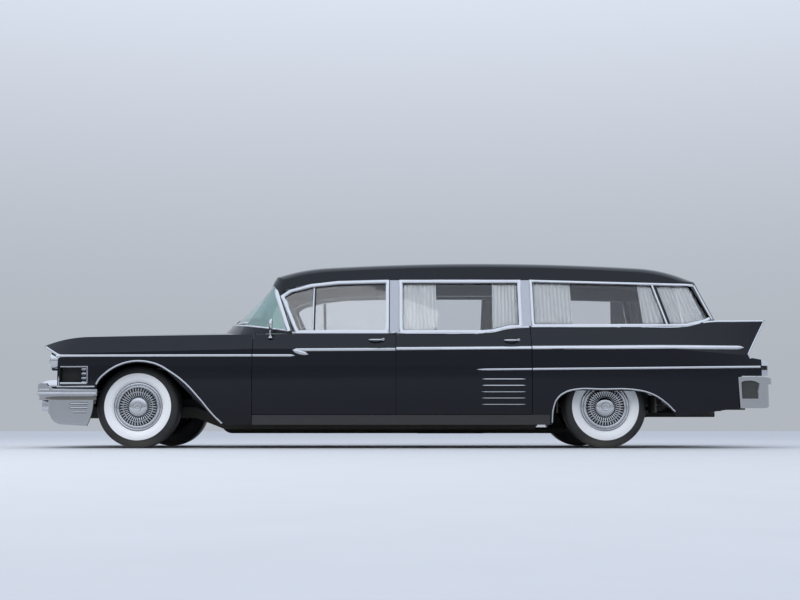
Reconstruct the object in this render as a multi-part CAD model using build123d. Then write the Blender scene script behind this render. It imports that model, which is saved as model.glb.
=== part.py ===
from build123d import *
import os

# A funeral coach of the late 1950s on a long commercial chassis, in millimetres.
# +X points to the rear, +Y to the car's right, +Z up. The origin is on the floor under the middle of the car.
# The right-hand side is built first, with positive Y, and mirrored to the left.

# Driving dimensions
WHEELBASE = 3962.0
FRONT_AXLE_X = -2222.0
REAR_AXLE_X = FRONT_AXLE_X + WHEELBASE
HALF_TRACK = 774.5
FRONT_END_X = -3190.0
REAR_END_X = 3190.0

# Wheels and tyres
TYRE_RADIUS = 350.0
TYRE_WIDTH = 208.0
TYRE_TREAD_WIDTH = 148.0
TYRE_BEAD_RADIUS = 204.0
TYRE_BULGE_RADIUS = 290.0
RIM_WIDTH = 150.0
RIM_WALL = 14.0
COVER_DOME = 33.0
HUB_RADIUS = 62.0
SPINDLE_RADIUS = 24.0
FIT = 0.3

# Steering and axles
KINGPIN_Y = 664.0
KINGPIN_RADIUS = 26.0
KINGPIN_LOW_Z = 236.0
KINGPIN_HIGH_Z = 444.0
ARM_WIDTH = 96.0
ARM_THICKNESS = 26.0
AXLE_TUBE_RADIUS = 45.0
DIFFERENTIAL_RADIUS = 150.0
SPRING_Y = 520.0
SPRING_FRONT_LENGTH = 430.0
SPRING_REAR_LENGTH = 700.0

# Gaps and wall thicknesses
GAP = 5.0
DOOR_THICKNESS = 72.0
FENDER_THICKNESS = 30.0
QUARTER_THICKNESS = 36.0
HOOD_THICKNESS = 26.0
PILLAR_THICKNESS = 44.0
ROOF_THICKNESS = 30.0
GLASS_THICKNESS = 7.0
GLASS_INSET = 16.0
CURTAIN_INSET = 28.0
CURTAIN_THICKNESS = 8.0
MIRROR_X = -1097.0
MIRROR_Y = 940.0
MIRROR_Z = 1040.0
MIRROR_RADIUS = 52.0

# Lines along the body, as X places
FENDER_REAR_X = -1243.0
DOOR_SPLIT_X = -34.0
DOOR_REAR_X = 1109.0
B_PILLAR_X = -48.0
C_PILLAR_X = 1084.0
POST_HALF_WIDTH = 38.0
RUNNING_GAP = 0.5
HOOD_FRONT_X = -2996.0
HOOD_REAR_X = -1620.0
NOSE_X = -3034.0
BROW_TIP_Z = 868.0
BROW_REAR_X = -2885.0
BROW_FOOT_Z = 786.0
FENDER_LOW_Z = 505.0
LAMP_WALL_X = -2870.0
TAIL_X = 3101.0
FIREWALL_X = -1500.0
FIREWALL_THICKNESS = 12.0

# Heights
SILL_Z = 198.0
ROCKER_TOP_Z = 280.0
BELT_Z = 968.0
QUARTER_BELT_Z = 1028.0
FIN_TOP_Z = 1082.0
DRIP_Z = 1462.0
GLASSHOUSE_FOOT_Z = 950.0
FLOOR_Z = 252.0
FLOOR_THICKNESS = 28.0
HOOD_SEAM_Y = 700.0

os.makedirs("parts", exist_ok=True)


def block(x0, x1, y0, y1, z0, z1):
    """A box between two corners."""
    centre = Pos((x0 + x1) / 2, (y0 + y1) / 2, (z0 + z1) / 2)
    return centre * Box(x1 - x0, y1 - y0, z1 - z0)


def face_of(*edges):
    """A closed face from a chain of edges."""
    return make_face(Curve() + list(edges))


def polygon(*points):
    """A closed face through points, joined by straight lines."""
    return make_face(Polyline(*points, close=True))


def side_prism(outline, y0, y1):
    """A side-view outline in X and Z, swept across from y0 to y1."""
    return extrude(Plane.XZ.offset(-y0) * outline, -(y1 - y0))


def plan_prism(outline, z0, z1):
    """A top-view outline in X and Y, swept up from z0 to z1."""
    return extrude(Pos(0, 0, z0) * outline, z1 - z0)


def across(radius, x, z, y0, y1):
    """A round bar across the car."""
    return extrude(Plane.XZ.offset(-y0) * Pos(x, z) * Circle(radius), -(y1 - y0))


def save(name, *solids):
    """Writes the solids of one node."""
    pieces = []
    for shape in solids:
        pieces.extend(shape.solids())
    export_step(Compound(children=pieces), f"parts/{name}.step")


def to_left(shape):
    return mirror(shape, about=Plane.XZ)


def save_pair(name, right_shape):
    save(name + "_right", right_shape)
    save(name + "_left", to_left(right_shape))


# Body sections, right side
# x, sill z and y, widest y and z, crease y and z under the shoulder, top y and z, rise on the centre line
NOSE_SECTIONS = (
    (-3060.0, 190.0, 885.0, 940.0, 690.0, 930.0, 775.0, 838.0, 856.0, 16.0),
    (-2855.0, 190.0, 922.0, 974.0, 690.0, 965.0, 790.0, 872.0, 918.0, 30.0),
    (-2650.0, 190.0, 938.0, 990.0, 690.0, 981.0, 798.0, 888.0, 941.0, 42.0),
)
FENDER_SECTIONS = (
    (-2650.0, 190.0, 938.0, 990.0, 690.0, 981.0, 798.0, 888.0, 941.0, 42.0),
    (-1946.0, 194.0, 951.0, 1006.0, 690.0, 998.0, 816.0, 906.0, 953.0, 58.0),
    (FENDER_REAR_X, SILL_Z, 957.0, 1012.0, 690.0, 1004.0, 832.0, 917.0, 961.0, 60.0),
)
CABIN_SECTIONS = (
    (FENDER_REAR_X, SILL_Z, 957.0, 1012.0, 690.0, 1004.0, 832.0, 825.0, 1100.0, 0.0),
    (0.0, SILL_Z, 958.0, 1016.0, 690.0, 1008.0, 834.0, 829.0, 1100.0, 0.0),
    (DOOR_REAR_X, SILL_Z, 958.0, 1016.0, 690.0, 1008.0, 836.0, 830.0, 1100.0, 0.0),
)
QUARTER_SECTIONS = (
    (DOOR_REAR_X, SILL_Z, 958.0, 1016.0, 690.0, 1008.0, 836.0, 830.0, 1100.0, 0.0),
    (2300.0, SILL_Z, 956.0, 1013.0, 690.0, 1004.0, 832.0, 828.0, 1100.0, 0.0),
)
TAIL_SECTIONS = (
    (2300.0, SILL_Z, 956.0, 1013.0, 690.0, 1004.0, 832.0, 828.0, 1100.0, 0.0),
    (2705.0, SILL_Z, 942.0, 1002.0, 690.0, 991.0, 798.0, 868.0, 1100.0, 0.0),
    (3110.0, SILL_Z, 905.0, 980.0, 690.0, 966.0, 762.0, 902.0, 1100.0, 0.0),
)


def body_section(row, inset=0.0, top_drop=0.0, bottom_drop=0.0):
    x, z_sill, y_sill, y_wide, z_wide, y_crease, z_crease, y_top, z_top, rise = row
    z_low = z_sill - bottom_drop
    z_high = z_top - top_drop
    belly = ((y_sill + y_wide) / 2 + 14.0 - inset, (z_sill + z_wide) / 2)
    crown = (y_top / 2, z_high + rise * 0.75 + 1.0)
    peak = (0, z_high + rise + 1.2)
    return Plane.YZ.offset(x) * face_of(
        Line((0, z_low), (y_sill - inset, z_low)),
        ThreePointArc((y_sill - inset, z_low), belly, (y_wide - inset, z_wide)),
        Line((y_wide - inset, z_wide), (y_crease - inset, z_crease)),
        Line((y_crease - inset, z_crease), (y_top - inset, z_high)),
        ThreePointArc((y_top - inset, z_high), crown, peak),
        Line(peak, (0, z_low)),
    )


def body_loft(*stretches, **drops):
    """Joins the smooth lofts of neighbouring stretches of the body."""
    shape = loft([body_section(row, **drops) for row in stretches[0]])
    for rows in stretches[1:]:
        shape = shape + loft([body_section(row, **drops) for row in rows])
    return shape


# Glasshouse: two plan outlines joined by straight slopes
# front centre x, front corner start x y, corner middle x y, side start x, side y, side end x,
# rear corner middle x y, rear corner end x y, rear centre x
GLASSHOUSE_FOOT = (
    -1672.0, -1400.0, 735.0, -1190.0, 860.0, -960.0, 893.0, 2420.0, 2690.0, 850.0, 2800.0, 720.0, 2885.0,
)
GLASSHOUSE_HEAD = (
    -1133.0, -1098.0, 560.0, -1070.0, 650.0, -1010.0, 700.0, 2380.0, 2515.0, 672.0, 2570.0, 600.0, 2625.0,
)


def glasshouse_outline(row, inset=0.0):
    front, fx, fy, cx, cy, sx, sy, ex, rx, ry, tx, ty, rear = row
    front_start = (front + inset, 0)
    front_end = (fx + inset * 0.9, fy - inset * 0.5)
    side_start = (sx, sy - inset)
    side_end = (ex, sy - inset)
    rear_start = (tx - inset * 0.9, ty - inset * 0.5)
    rear_end = (rear - inset, 0)
    front_middle = ((front * 0.75 + fx * 0.25) + inset, fy * 0.52)
    rear_middle = ((rear * 0.75 + tx * 0.25) - inset, ty * 0.52)
    return face_of(
        ThreePointArc(front_start, front_middle, front_end),
        ThreePointArc(front_end, (cx + inset * 0.6, cy - inset * 0.8), side_start),
        Line(side_start, side_end),
        ThreePointArc(side_end, (rx - inset * 0.7, ry - inset * 0.7), rear_start),
        ThreePointArc(rear_start, rear_middle, rear_end),
        Line(rear_end, front_start),
    )


def between(low, high, share):
    return tuple(a + (b - a) * share for a, b in zip(low, high))


def glasshouse(inset=0.0):
    """A tapering block from the belt up past the roof, with the slopes of the side glass and windshield."""
    share = (HOUSE_TOP_Z - GLASSHOUSE_FOOT_Z) / (DRIP_Z - GLASSHOUSE_FOOT_Z)
    peak = between(GLASSHOUSE_FOOT, GLASSHOUSE_HEAD, share)
    foot = Pos(0, 0, GLASSHOUSE_FOOT_Z) * glasshouse_outline(GLASSHOUSE_FOOT, inset)
    head = Pos(0, 0, HOUSE_TOP_Z) * glasshouse_outline(peak, inset)
    return loft([foot, head], ruled=True)


# Roof surface: sections across the car that cap the glasshouse
# x, edge z over the side glass, shoulder z, crown z
ROOF_STRETCHES = (
    ((-1150.0, 1400.0, 1463.0, 1472.0), (-900.0, 1440.0, 1537.0, 1558.0), (-650.0, 1458.0, 1572.0, 1604.0)),
    ((-650.0, 1458.0, 1572.0, 1604.0), (725.0, 1466.0, 1613.0, 1650.0), (2100.0, 1458.0, 1569.0, 1604.0)),
    ((2100.0, 1458.0, 1569.0, 1604.0), (2372.5, 1430.0, 1521.0, 1552.0), (2645.0, 1362.0, 1410.0, 1432.0)),
)
ROOF_SHOULDER_Y = 560.0
SIDE_LEAN = 0.377
ROOF_FOOT_Z = 940.0
HOUSE_TOP_Z = DRIP_Z + 238.0


def wall_y(z):
    """The side wall's place at a height, a little outside the glass."""
    return 714.0 + SIDE_LEAN * (DRIP_Z - z)


def roof_section(row, drop=0.0):
    x, edge, shoulder, crown = row
    edge_point = (wall_y(edge), edge - drop)
    shoulder_point = (ROOF_SHOULDER_Y - drop * 0.4, shoulder - drop)
    bend = (ROOF_SHOULDER_Y + 112.0 - drop * 0.5, edge + (shoulder - edge) * 0.62 - drop)
    swell = (ROOF_SHOULDER_Y / 2, crown - (crown - shoulder) * 0.25 - drop)
    return Plane.YZ.offset(x) * face_of(
        Line((0, ROOF_FOOT_Z), (wall_y(ROOF_FOOT_Z), ROOF_FOOT_Z)),
        Line((wall_y(ROOF_FOOT_Z), ROOF_FOOT_Z), edge_point),
        ThreePointArc(edge_point, bend, shoulder_point),
        ThreePointArc(shoulder_point, swell, (0, crown - drop)),
        Line((0, crown - drop), (0, ROOF_FOOT_Z)),
    )


def roof_cover(drop=0.0):
    parts = [loft([roof_section(row, drop) for row in rows]) for rows in ROOF_STRETCHES]
    return parts[0] + parts[1] + parts[2]


# The cowl in front of the roof surface, down to the foot of the windshield
cowl_zone = block(-1760, -1150, 0, 1100, ROOF_FOOT_Z, DRIP_Z)
tail_zone = block(2645, 3000, 0, 1100, ROOF_FOOT_Z, 1432)
house = glasshouse() & (roof_cover() + cowl_zone + tail_zone)
house_hollow = glasshouse(PILLAR_THICKNESS) & (roof_cover(ROOF_THICKNESS) + cowl_zone + tail_zone)
glass_shell = house - house_hollow
pane_shell = glasshouse(GLASS_INSET) - glasshouse(GLASS_INSET + GLASS_THICKNESS)

# Side-view lines of the windows
A_POST_FOOT_X = -932.0
A_POST_HEAD_X = -1066.0
A_POST_WIDTH = 52.0
WINDOW_SILL_Z = 992.0
QUARTER_SILL_Z = 1046.0
FRAME_WIDTH = 26.0

# The line over the side windows, which falls towards both ends
HEAD_LINE = ((-1066.0, 1326.0), (-960.0, 1366.0), (-770.0, 1411.0), (-540.0, 1438.0), (-100.0, 1450.0))
REAR_HEAD_Z = 1450.0
REAR_HEAD_END = (2545.0, 1408.0)

front_door_upper = polygon(
    (A_POST_FOOT_X + A_POST_WIDTH / 2 + GAP, GLASSHOUSE_FOOT_Z),
    (A_POST_HEAD_X + A_POST_WIDTH / 2 + GAP, HEAD_LINE[0][1]),
    *HEAD_LINE[1:],
    (B_PILLAR_X - POST_HALF_WIDTH - GAP, REAR_HEAD_Z),
    (B_PILLAR_X - POST_HALF_WIDTH - GAP, GLASSHOUSE_FOOT_Z),
)
rear_door_upper = polygon(
    (B_PILLAR_X + POST_HALF_WIDTH + GAP, GLASSHOUSE_FOOT_Z),
    (B_PILLAR_X + POST_HALF_WIDTH + GAP, REAR_HEAD_Z),
    (C_PILLAR_X - POST_HALF_WIDTH - GAP, REAR_HEAD_Z),
    (C_PILLAR_X - POST_HALF_WIDTH - GAP, GLASSHOUSE_FOOT_Z),
)
front_window = polygon(
    (A_POST_FOOT_X + A_POST_WIDTH / 2 + FRAME_WIDTH + 14, WINDOW_SILL_Z),
    (A_POST_HEAD_X + A_POST_WIDTH / 2 + FRAME_WIDTH + 10, HEAD_LINE[0][1] - 34),
    (HEAD_LINE[1][0] + 20, HEAD_LINE[1][1] - 30),
    (HEAD_LINE[2][0], HEAD_LINE[2][1] - 26),
    (HEAD_LINE[3][0], HEAD_LINE[3][1] - FRAME_WIDTH),
    (B_PILLAR_X - POST_HALF_WIDTH - GAP - FRAME_WIDTH, REAR_HEAD_Z - FRAME_WIDTH),
    (B_PILLAR_X - POST_HALF_WIDTH - GAP - FRAME_WIDTH, WINDOW_SILL_Z),
)
rear_window = polygon(
    (B_PILLAR_X + POST_HALF_WIDTH + GAP + FRAME_WIDTH, WINDOW_SILL_Z),
    (B_PILLAR_X + POST_HALF_WIDTH + GAP + FRAME_WIDTH, REAR_HEAD_Z - FRAME_WIDTH),
    (C_PILLAR_X - POST_HALF_WIDTH - GAP - FRAME_WIDTH, REAR_HEAD_Z - FRAME_WIDTH),
    (C_PILLAR_X - POST_HALF_WIDTH - GAP - FRAME_WIDTH, QUARTER_SILL_Z),
    (920.0, QUARTER_SILL_Z - 12),
    (800.0, WINDOW_SILL_Z + 6),
    (700.0, WINDOW_SILL_Z),
)
quarter_window = polygon(
    (C_PILLAR_X + POST_HALF_WIDTH + FRAME_WIDTH, QUARTER_SILL_Z),
    (C_PILLAR_X + POST_HALF_WIDTH + FRAME_WIDTH, REAR_HEAD_Z - 16),
    (REAR_HEAD_END[0] - 20, REAR_HEAD_END[1] - 12),
    (2670.0, 1110.0),
    (2600.0, 1090.0),
    (2440.0, QUARTER_SILL_Z + 4),
)
quarter_divider = polygon((2166.0, 1470.0), (2200.0, 1470.0), (2318.0, 1030.0), (2268.0, 1030.0))
divider_rear = polygon((2183.0, 1470.0), (2293.0, 1030.0), (2800.0, 1030.0), (2800.0, 1470.0))
windshield_side = polygon(
    (-1760.0, 1110.0),
    (-1760.0, DRIP_Z),
    (A_POST_HEAD_X - A_POST_WIDTH / 2 - 22.0, DRIP_Z),
    (A_POST_HEAD_X - A_POST_WIDTH / 2, 1400.0),
    (A_POST_FOOT_X - A_POST_WIDTH / 2, 990.0),
    (-1541.0, 1078.0),
)

# Right-hand window pieces
front_frame = glass_shell & side_prism(front_door_upper, 500, 1100)
rear_frame = glass_shell & side_prism(rear_door_upper, 500, 1100)
front_window_cut = side_prism(front_window, 500, 1100)
rear_window_cut = side_prism(rear_window, 500, 1100)
quarter_cut = side_prism(quarter_window, 560, 1100) - side_prism(quarter_divider, 560, 1100)
front_pane = pane_shell & front_window_cut
rear_pane = pane_shell & rear_window_cut
quarter_pane = pane_shell & quarter_cut

# Loading door zone at the tail
LOADING_DOOR_HALF_WIDTH = 640.0
LOADING_DOOR_FRONT_X = 2500.0
LOADING_DOOR_TOP_Z = 1440.0
loading_zone = block(LOADING_DOOR_FRONT_X, 3200, 0, LOADING_DOOR_HALF_WIDTH, 200, LOADING_DOOR_TOP_Z)
loading_zone_gap = block(
    LOADING_DOOR_FRONT_X, 3200, -1, LOADING_DOOR_HALF_WIDTH + GAP, 200, LOADING_DOOR_TOP_Z + GAP)
TAIL_WINDOW_WIDTH = 1100.0
TAIL_WINDOW_HEIGHT = 320.0
tail_window = Pos(0, 1226) * RectangleRounded(TAIL_WINDOW_WIDTH, TAIL_WINDOW_HEIGHT, 70)
tail_window_cut = extrude(Plane.YZ.offset(2400) * tail_window, 800)

# Fixed glasshouse: what is left of the shell between the doors, the windshield and the loading door
RING_FOOT_Z = BELT_Z + GAP
rear_post_notch = block(
    C_PILLAR_X - POST_HALF_WIDTH - GAP, DOOR_REAR_X + GAP, 0, 1100, 900, QUARTER_BELT_Z + GAP)
door_gap_front = side_prism(offset(front_door_upper, GAP, kind=Kind.INTERSECTION), 500, 1100)
door_gap_rear = side_prism(offset(rear_door_upper, GAP, kind=Kind.INTERSECTION), 500, 1100)
windshield_cut = side_prism(windshield_side, -10, 1100)
fixed_shell = glass_shell - door_gap_front - door_gap_rear - windshield_cut - quarter_cut - loading_zone_gap
fixed_shell = (fixed_shell & block(-1760, 3000, 0, 1100, RING_FOOT_Z, HOUSE_TOP_Z)) - rear_post_notch
cowl_side = polygon(
    (-1800, 900), (-1800, 1110), (-1541, 1078), (A_POST_FOOT_X - 26, 990), (A_POST_FOOT_X - 26, 900))
cowl_ring = fixed_shell & side_prism(cowl_side, 0, 1100)
upper_shell = fixed_shell - side_prism(cowl_side, -1, 1100)
windshield_half = pane_shell & windshield_cut


# Body shell: outer envelope and hollow of each stretch
front_envelope = body_loft(NOSE_SECTIONS, FENDER_SECTIONS)
front_hollow = body_loft(
    NOSE_SECTIONS, FENDER_SECTIONS, inset=FENDER_THICKNESS, top_drop=HOOD_THICKNESS, bottom_drop=40)
cabin_envelope = body_loft(CABIN_SECTIONS)
door_hollow = body_loft(CABIN_SECTIONS, inset=DOOR_THICKNESS, top_drop=-30, bottom_drop=40)
quarter_envelope = body_loft(QUARTER_SECTIONS, TAIL_SECTIONS)
quarter_hollow = body_loft(
    QUARTER_SECTIONS, TAIL_SECTIONS, inset=QUARTER_THICKNESS, top_drop=-30, bottom_drop=40)

# Wheel arches, as side-view outlines
FRONT_ARCH_CROWN_Z = 693.0
FRONT_ARCH_FRONT_X = -2549.0
FRONT_ARCH_REAR_X = -1492.0
REAR_ARCH_TOP_Z = 485.0
REAR_ARCH_FRONT_X = 1272.0
REAR_ARCH_REAR_X = 2330.0
front_arch = face_of(
    Line((FRONT_ARCH_FRONT_X - 20, 100), (FRONT_ARCH_FRONT_X, 524)),
    ThreePointArc((FRONT_ARCH_FRONT_X, 524), (-2335, FRONT_ARCH_CROWN_Z), (-1940, 629)),
    Line((-1940, 629), (FRONT_ARCH_REAR_X, SILL_Z - 8)),
    Line((FRONT_ARCH_REAR_X, SILL_Z - 8), (FRONT_ARCH_REAR_X, 100)),
    Line((FRONT_ARCH_REAR_X, 100), (FRONT_ARCH_FRONT_X - 20, 100)),
)
rear_arch = face_of(
    Line((REAR_ARCH_FRONT_X, 100), (REAR_ARCH_FRONT_X + 10, 330)),
    ThreePointArc((REAR_ARCH_FRONT_X + 10, 330), (1340, 440), (1470, REAR_ARCH_TOP_Z)),
    Line((1470, REAR_ARCH_TOP_Z), (1990, REAR_ARCH_TOP_Z - 6)),
    ThreePointArc((1990, REAR_ARCH_TOP_Z - 6), (2170, 410), (REAR_ARCH_REAR_X, 262)),
    Line((REAR_ARCH_REAR_X, 262), (REAR_ARCH_REAR_X, 100)),
    Line((REAR_ARCH_REAR_X, 100), (REAR_ARCH_FRONT_X, 100)),
)

# Front fender: skin, lamp wall at the nose and the inner apron beside the engine
APRON_Y = 472.0
APRON_THICKNESS = 8.0
GRILLE_OPENING_Y = 560.0
fender_side = polygon(
    (NOSE_X, BROW_TIP_Z), (BROW_REAR_X, BROW_FOOT_Z), (BROW_REAR_X, FENDER_LOW_Z), (-2540, FENDER_LOW_Z),
    (-2300, 150), (FENDER_REAR_X - GAP / 2, 150), (FENDER_REAR_X - GAP / 2, 1100), (NOSE_X, 1100),
)
fender_skin = (front_envelope - front_hollow) & side_prism(fender_side, HOOD_SEAM_Y, 1100)
lamp_wall = front_envelope & block(BROW_REAR_X, LAMP_WALL_X, GRILLE_OPENING_Y, 1100, FENDER_LOW_Z, 850)
header = block(BROW_REAR_X, LAMP_WALL_X, 0, GRILLE_OPENING_Y, 742, 850)
apron_outer_y = APRON_Y + APRON_THICKNESS
apron = block(-2840, -1520, APRON_Y, apron_outer_y, 420, 860)
apron = apron - block(FRONT_AXLE_X - 70, FRONT_AXLE_X + 70, APRON_Y - 1, apron_outer_y + 1, 400, 500)

# Splash panel behind the front wheel, along the slope of the arch
SPLASH_THICKNESS = 8.0
SPLASH_TOP_X = -1900.0
SPLASH_TOP_Z = 640.0
SPLASH_END_X = FIREWALL_X - 14.0
SPLASH_END_Z = 222.0
splash_side = polygon(
    (SPLASH_TOP_X, 860), (SPLASH_TOP_X, SPLASH_TOP_Z), (SPLASH_END_X, SPLASH_END_Z),
    (SPLASH_END_X, SPLASH_END_Z + SPLASH_THICKNESS * 1.5),
    (SPLASH_TOP_X + SPLASH_THICKNESS, SPLASH_TOP_Z + SPLASH_THICKNESS * 0.4),
    (SPLASH_TOP_X + SPLASH_THICKNESS, 860),
)
splash_panel = side_prism(splash_side, APRON_Y, 1100) & front_envelope
apron_ledge = block(-2840, -1520, APRON_Y, 985, 852, 860) & front_envelope
cowl_vent_zone = block(HOOD_REAR_X - GAP / 2, -1000, -1, 1100, 850, 1200)
front_fender = fender_skin + lamp_wall + header + apron + apron_ledge + splash_panel
front_fender = front_fender - side_prism(front_arch, 490, 1100) - house

# Side grille: a recess between the lamp wall and the arch, closed by a ribbed bar at its rear
RECESS_X = (-2858.0, -2632.0)
RECESS_Z = (528.0, 678.0)
RECESS_FLOOR_Y = 930.0
RECESS_BACKING = 12.0
RIB_BAR_X = -2682.0
RIB_DEPTH = 8.0
RIB_COUNT = 4
side_recess = block(*RECESS_X, RECESS_FLOOR_Y, 1100, *RECESS_Z)
backing = block(RECESS_X[0] - RECESS_BACKING, RECESS_X[1] + RECESS_BACKING, RECESS_FLOOR_Y - RECESS_BACKING,
                RECESS_FLOOR_Y + 30, RECESS_Z[0] - RECESS_BACKING, RECESS_Z[1] + RECESS_BACKING)
rib_bar = front_envelope & block(RIB_BAR_X, RECESS_X[1], RECESS_FLOOR_Y, 1100, *RECESS_Z)
rib_skin = rib_bar - body_loft(NOSE_SECTIONS, FENDER_SECTIONS, inset=RIB_DEPTH)
rib_pitch = (RECESS_Z[1] - RECESS_Z[0]) / RIB_COUNT
for rib in range(RIB_COUNT):
    groove_z = RECESS_Z[0] + rib_pitch * rib
    groove = block(RIB_BAR_X, RECESS_X[1] - 10, 900, 1100, groove_z, groove_z + rib_pitch / 2)
    rib_bar = rib_bar - (rib_skin & groove)
front_fender = front_fender + (backing & front_envelope) - side_recess + rib_bar
HINGE_HEIGHT = 60.0
for hinge_z in (400.0, 720.0):
    leaf_rear_x = FENDER_REAR_X + GAP / 2 - RUNNING_GAP
    hinge_leaf = block(FENDER_REAR_X - 20, leaf_rear_x, 945, 984, hinge_z, hinge_z + HINGE_HEIGHT)
    front_fender = front_fender + hinge_leaf
front_fender = front_fender - (cowl_vent_zone & block(-1700, 0, -1, HOOD_SEAM_Y + 60, 850, 1200))

# Hood
hood_zone = block(HOOD_FRONT_X, HOOD_REAR_X - GAP, 0, HOOD_SEAM_Y - GAP, 830, 1100)
hood_half = (front_envelope - front_hollow) & hood_zone
hood = hood_half + to_left(hood_half)

# Cowl: top panel, firewall and the ring that the windshield stands on
cowl_top = (front_envelope - front_hollow) & block(HOOD_REAR_X, FENDER_REAR_X, 0, HOOD_SEAM_Y + 55, 850, 1200)
firewall_outline = polygon((0, FLOOR_Z), (455, FLOOR_Z), (455, 420), (760, 640), (760, 1100), (0, 1100))
firewall = extrude(Plane.YZ.offset(FIREWALL_X) * firewall_outline, FIREWALL_THICKNESS) & front_envelope
cowl_ring = cowl_ring & block(HOOD_REAR_X, 0, 0, 1100, 900, 1200)
hood_leaf = block(HOOD_REAR_X - GAP + RUNNING_GAP, HOOD_REAR_X + 30, 440, 500, 978, 994)
cowl_half = cowl_top + cowl_ring + firewall + hood_leaf
cowl = cowl_half + to_left(cowl_half)

# Doors: lower slab and window frame in one piece
DOOR_FLOOR_Z = ROCKER_TOP_Z + GAP
door_skin = cabin_envelope - door_hollow
belt_top = polygon(
    (FENDER_REAR_X, 200), (FENDER_REAR_X, BELT_Z - 8), (-900, BELT_Z), (690, BELT_Z), (800, BELT_Z + 22),
    (900, BELT_Z + 46), (1021, BELT_Z + 58), (1200, BELT_Z + 60), (1200, 200),
)
belt_prism = side_prism(belt_top, 0, 1100)
front_door_zone = block(FENDER_REAR_X + GAP / 2, DOOR_SPLIT_X - GAP / 2, 0, 1100, DOOR_FLOOR_Z, 1100)
rear_door_zone = block(DOOR_SPLIT_X + GAP / 2, DOOR_REAR_X - GAP / 2, 0, 1100, DOOR_FLOOR_Z, 1100)
front_door_slab = door_skin & belt_prism & front_door_zone
rear_door_slab = door_skin & belt_prism & rear_door_zone
front_door = front_door_slab + (front_frame - front_window_cut)
rear_door = rear_door_slab + (rear_frame - rear_window_cut)

# Rear door hinge straps, which reach in to the post between the doors
POST_OUTER_Y = 798.0
for hinge_z in (420.0, 770.0):
    strap_x = DOOR_SPLIT_X + GAP / 2
    strap = block(strap_x, strap_x + 34, POST_OUTER_Y + RUNNING_GAP, 950, hinge_z, hinge_z + HINGE_HEIGHT)
    rear_door = rear_door + strap

# Quarter panel with its fin and pod
quarter_side = face_of(
    Line((DOOR_REAR_X + GAP / 2, SILL_Z), (DOOR_REAR_X + GAP / 2, QUARTER_BELT_Z)),
    Line((DOOR_REAR_X + GAP / 2, QUARTER_BELT_Z), (2350, QUARTER_BELT_Z - 4)),
    ThreePointArc((2350, QUARTER_BELT_Z - 4), (2480, 1042), (2640, FIN_TOP_Z - 4)),
    Line((2640, FIN_TOP_Z - 4), (TAIL_X, FIN_TOP_Z)),
    Line((TAIL_X, FIN_TOP_Z), (2940, 800)),
    ThreePointArc((2940, 800), (2936, 774), (2966, 757)),
    Line((2966, 757), (3063, 740)),
    ThreePointArc((3063, 740), (3094, 722), (TAIL_X - 4, 690)),
    Line((TAIL_X - 4, 690), (3092, 606)),
    Line((3092, 606), (2838, 606)),
    Line((2838, 606), (2849, 338)),
    Line((2849, 338), (2423, 275)),
    Line((2423, 275), (2250, 256)),
    Line((2250, 256), (1260, SILL_Z)),
    Line((1260, SILL_Z), (DOOR_REAR_X + GAP / 2, SILL_Z)),
)
quarter_skin = (quarter_envelope - quarter_hollow) & side_prism(quarter_side, 500, 1100)
quarter = quarter_skin - side_prism(rear_arch, 500, 1100) - house
quarter = quarter - block(DOOR_REAR_X, 1262, 0, 1100, 100, ROCKER_TOP_Z + 1)

# Tail wall beside the loading door, from the quarter skin inwards
TAIL_WALL_X = 2872.0
TAIL_WALL_THICKNESS = 26.0
BUMPER_TOP_Z = 598.0
opening_y = LOADING_DOOR_HALF_WIDTH + GAP
tail_rear_x = TAIL_WALL_X + TAIL_WALL_THICKNESS
tail_wall = quarter_envelope & block(TAIL_WALL_X, tail_rear_x, opening_y, 1100, BUMPER_TOP_Z + 12, 1000)
tail_foot = block(TAIL_WALL_X, tail_rear_x, opening_y, 890, 360, BUMPER_TOP_Z + 12)
LAMP_JOINT_X = 3042.0
LAMP_INNER_Y = 872.0
pod_body = quarter_envelope & side_prism(quarter_side, LAMP_INNER_Y, 1100)
pod_end = pod_body & block(LAMP_JOINT_X, 3120, LAMP_INNER_Y, 1100, 600, 745)
pod_bulkhead = pod_body & block(LAMP_JOINT_X - 20, LAMP_JOINT_X, LAMP_INNER_Y, 1100, 600, 738)
quarter = quarter + tail_wall + tail_foot + pod_bulkhead
quarter = quarter - block(LAMP_JOINT_X, 3130, 700, 1100, 590, 750)

# Rocker panel: a closed bar below the doors with a flat inner face for the floor
ROCKER_INNER_Y = 890.0
rocker = cabin_envelope & block(FENDER_REAR_X + 1, DOOR_REAR_X, ROCKER_INNER_Y, 1100, SILL_Z, ROCKER_TOP_Z)
rocker = rocker + (quarter_envelope & block(DOOR_REAR_X, 1258, ROCKER_INNER_Y, 1100, SILL_Z, ROCKER_TOP_Z))

# Posts between the doors, from the floor to the roof
POST_DEPTH = 28.0
posts = []
post_inner_y = POST_OUTER_Y - POST_DEPTH
for post_x, post_top in ((B_PILLAR_X, BELT_Z + GAP), (C_PILLAR_X, QUARTER_BELT_Z + GAP)):
    low_x = post_x - POST_HALF_WIDTH
    high_x = post_x + POST_HALF_WIDTH
    column = block(low_x, high_x, post_inner_y, POST_OUTER_Y, FLOOR_Z + FLOOR_THICKNESS, post_top + 30)
    shoulder = block(low_x, high_x, post_inner_y, 850, post_top, post_top + 30)
    posts.append(column + shoulder)

# Roof node: panel, rails, posts and quarter window frames
roof_half = upper_shell + posts[0] + posts[1]
roof = roof_half + to_left(roof_half)

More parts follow.
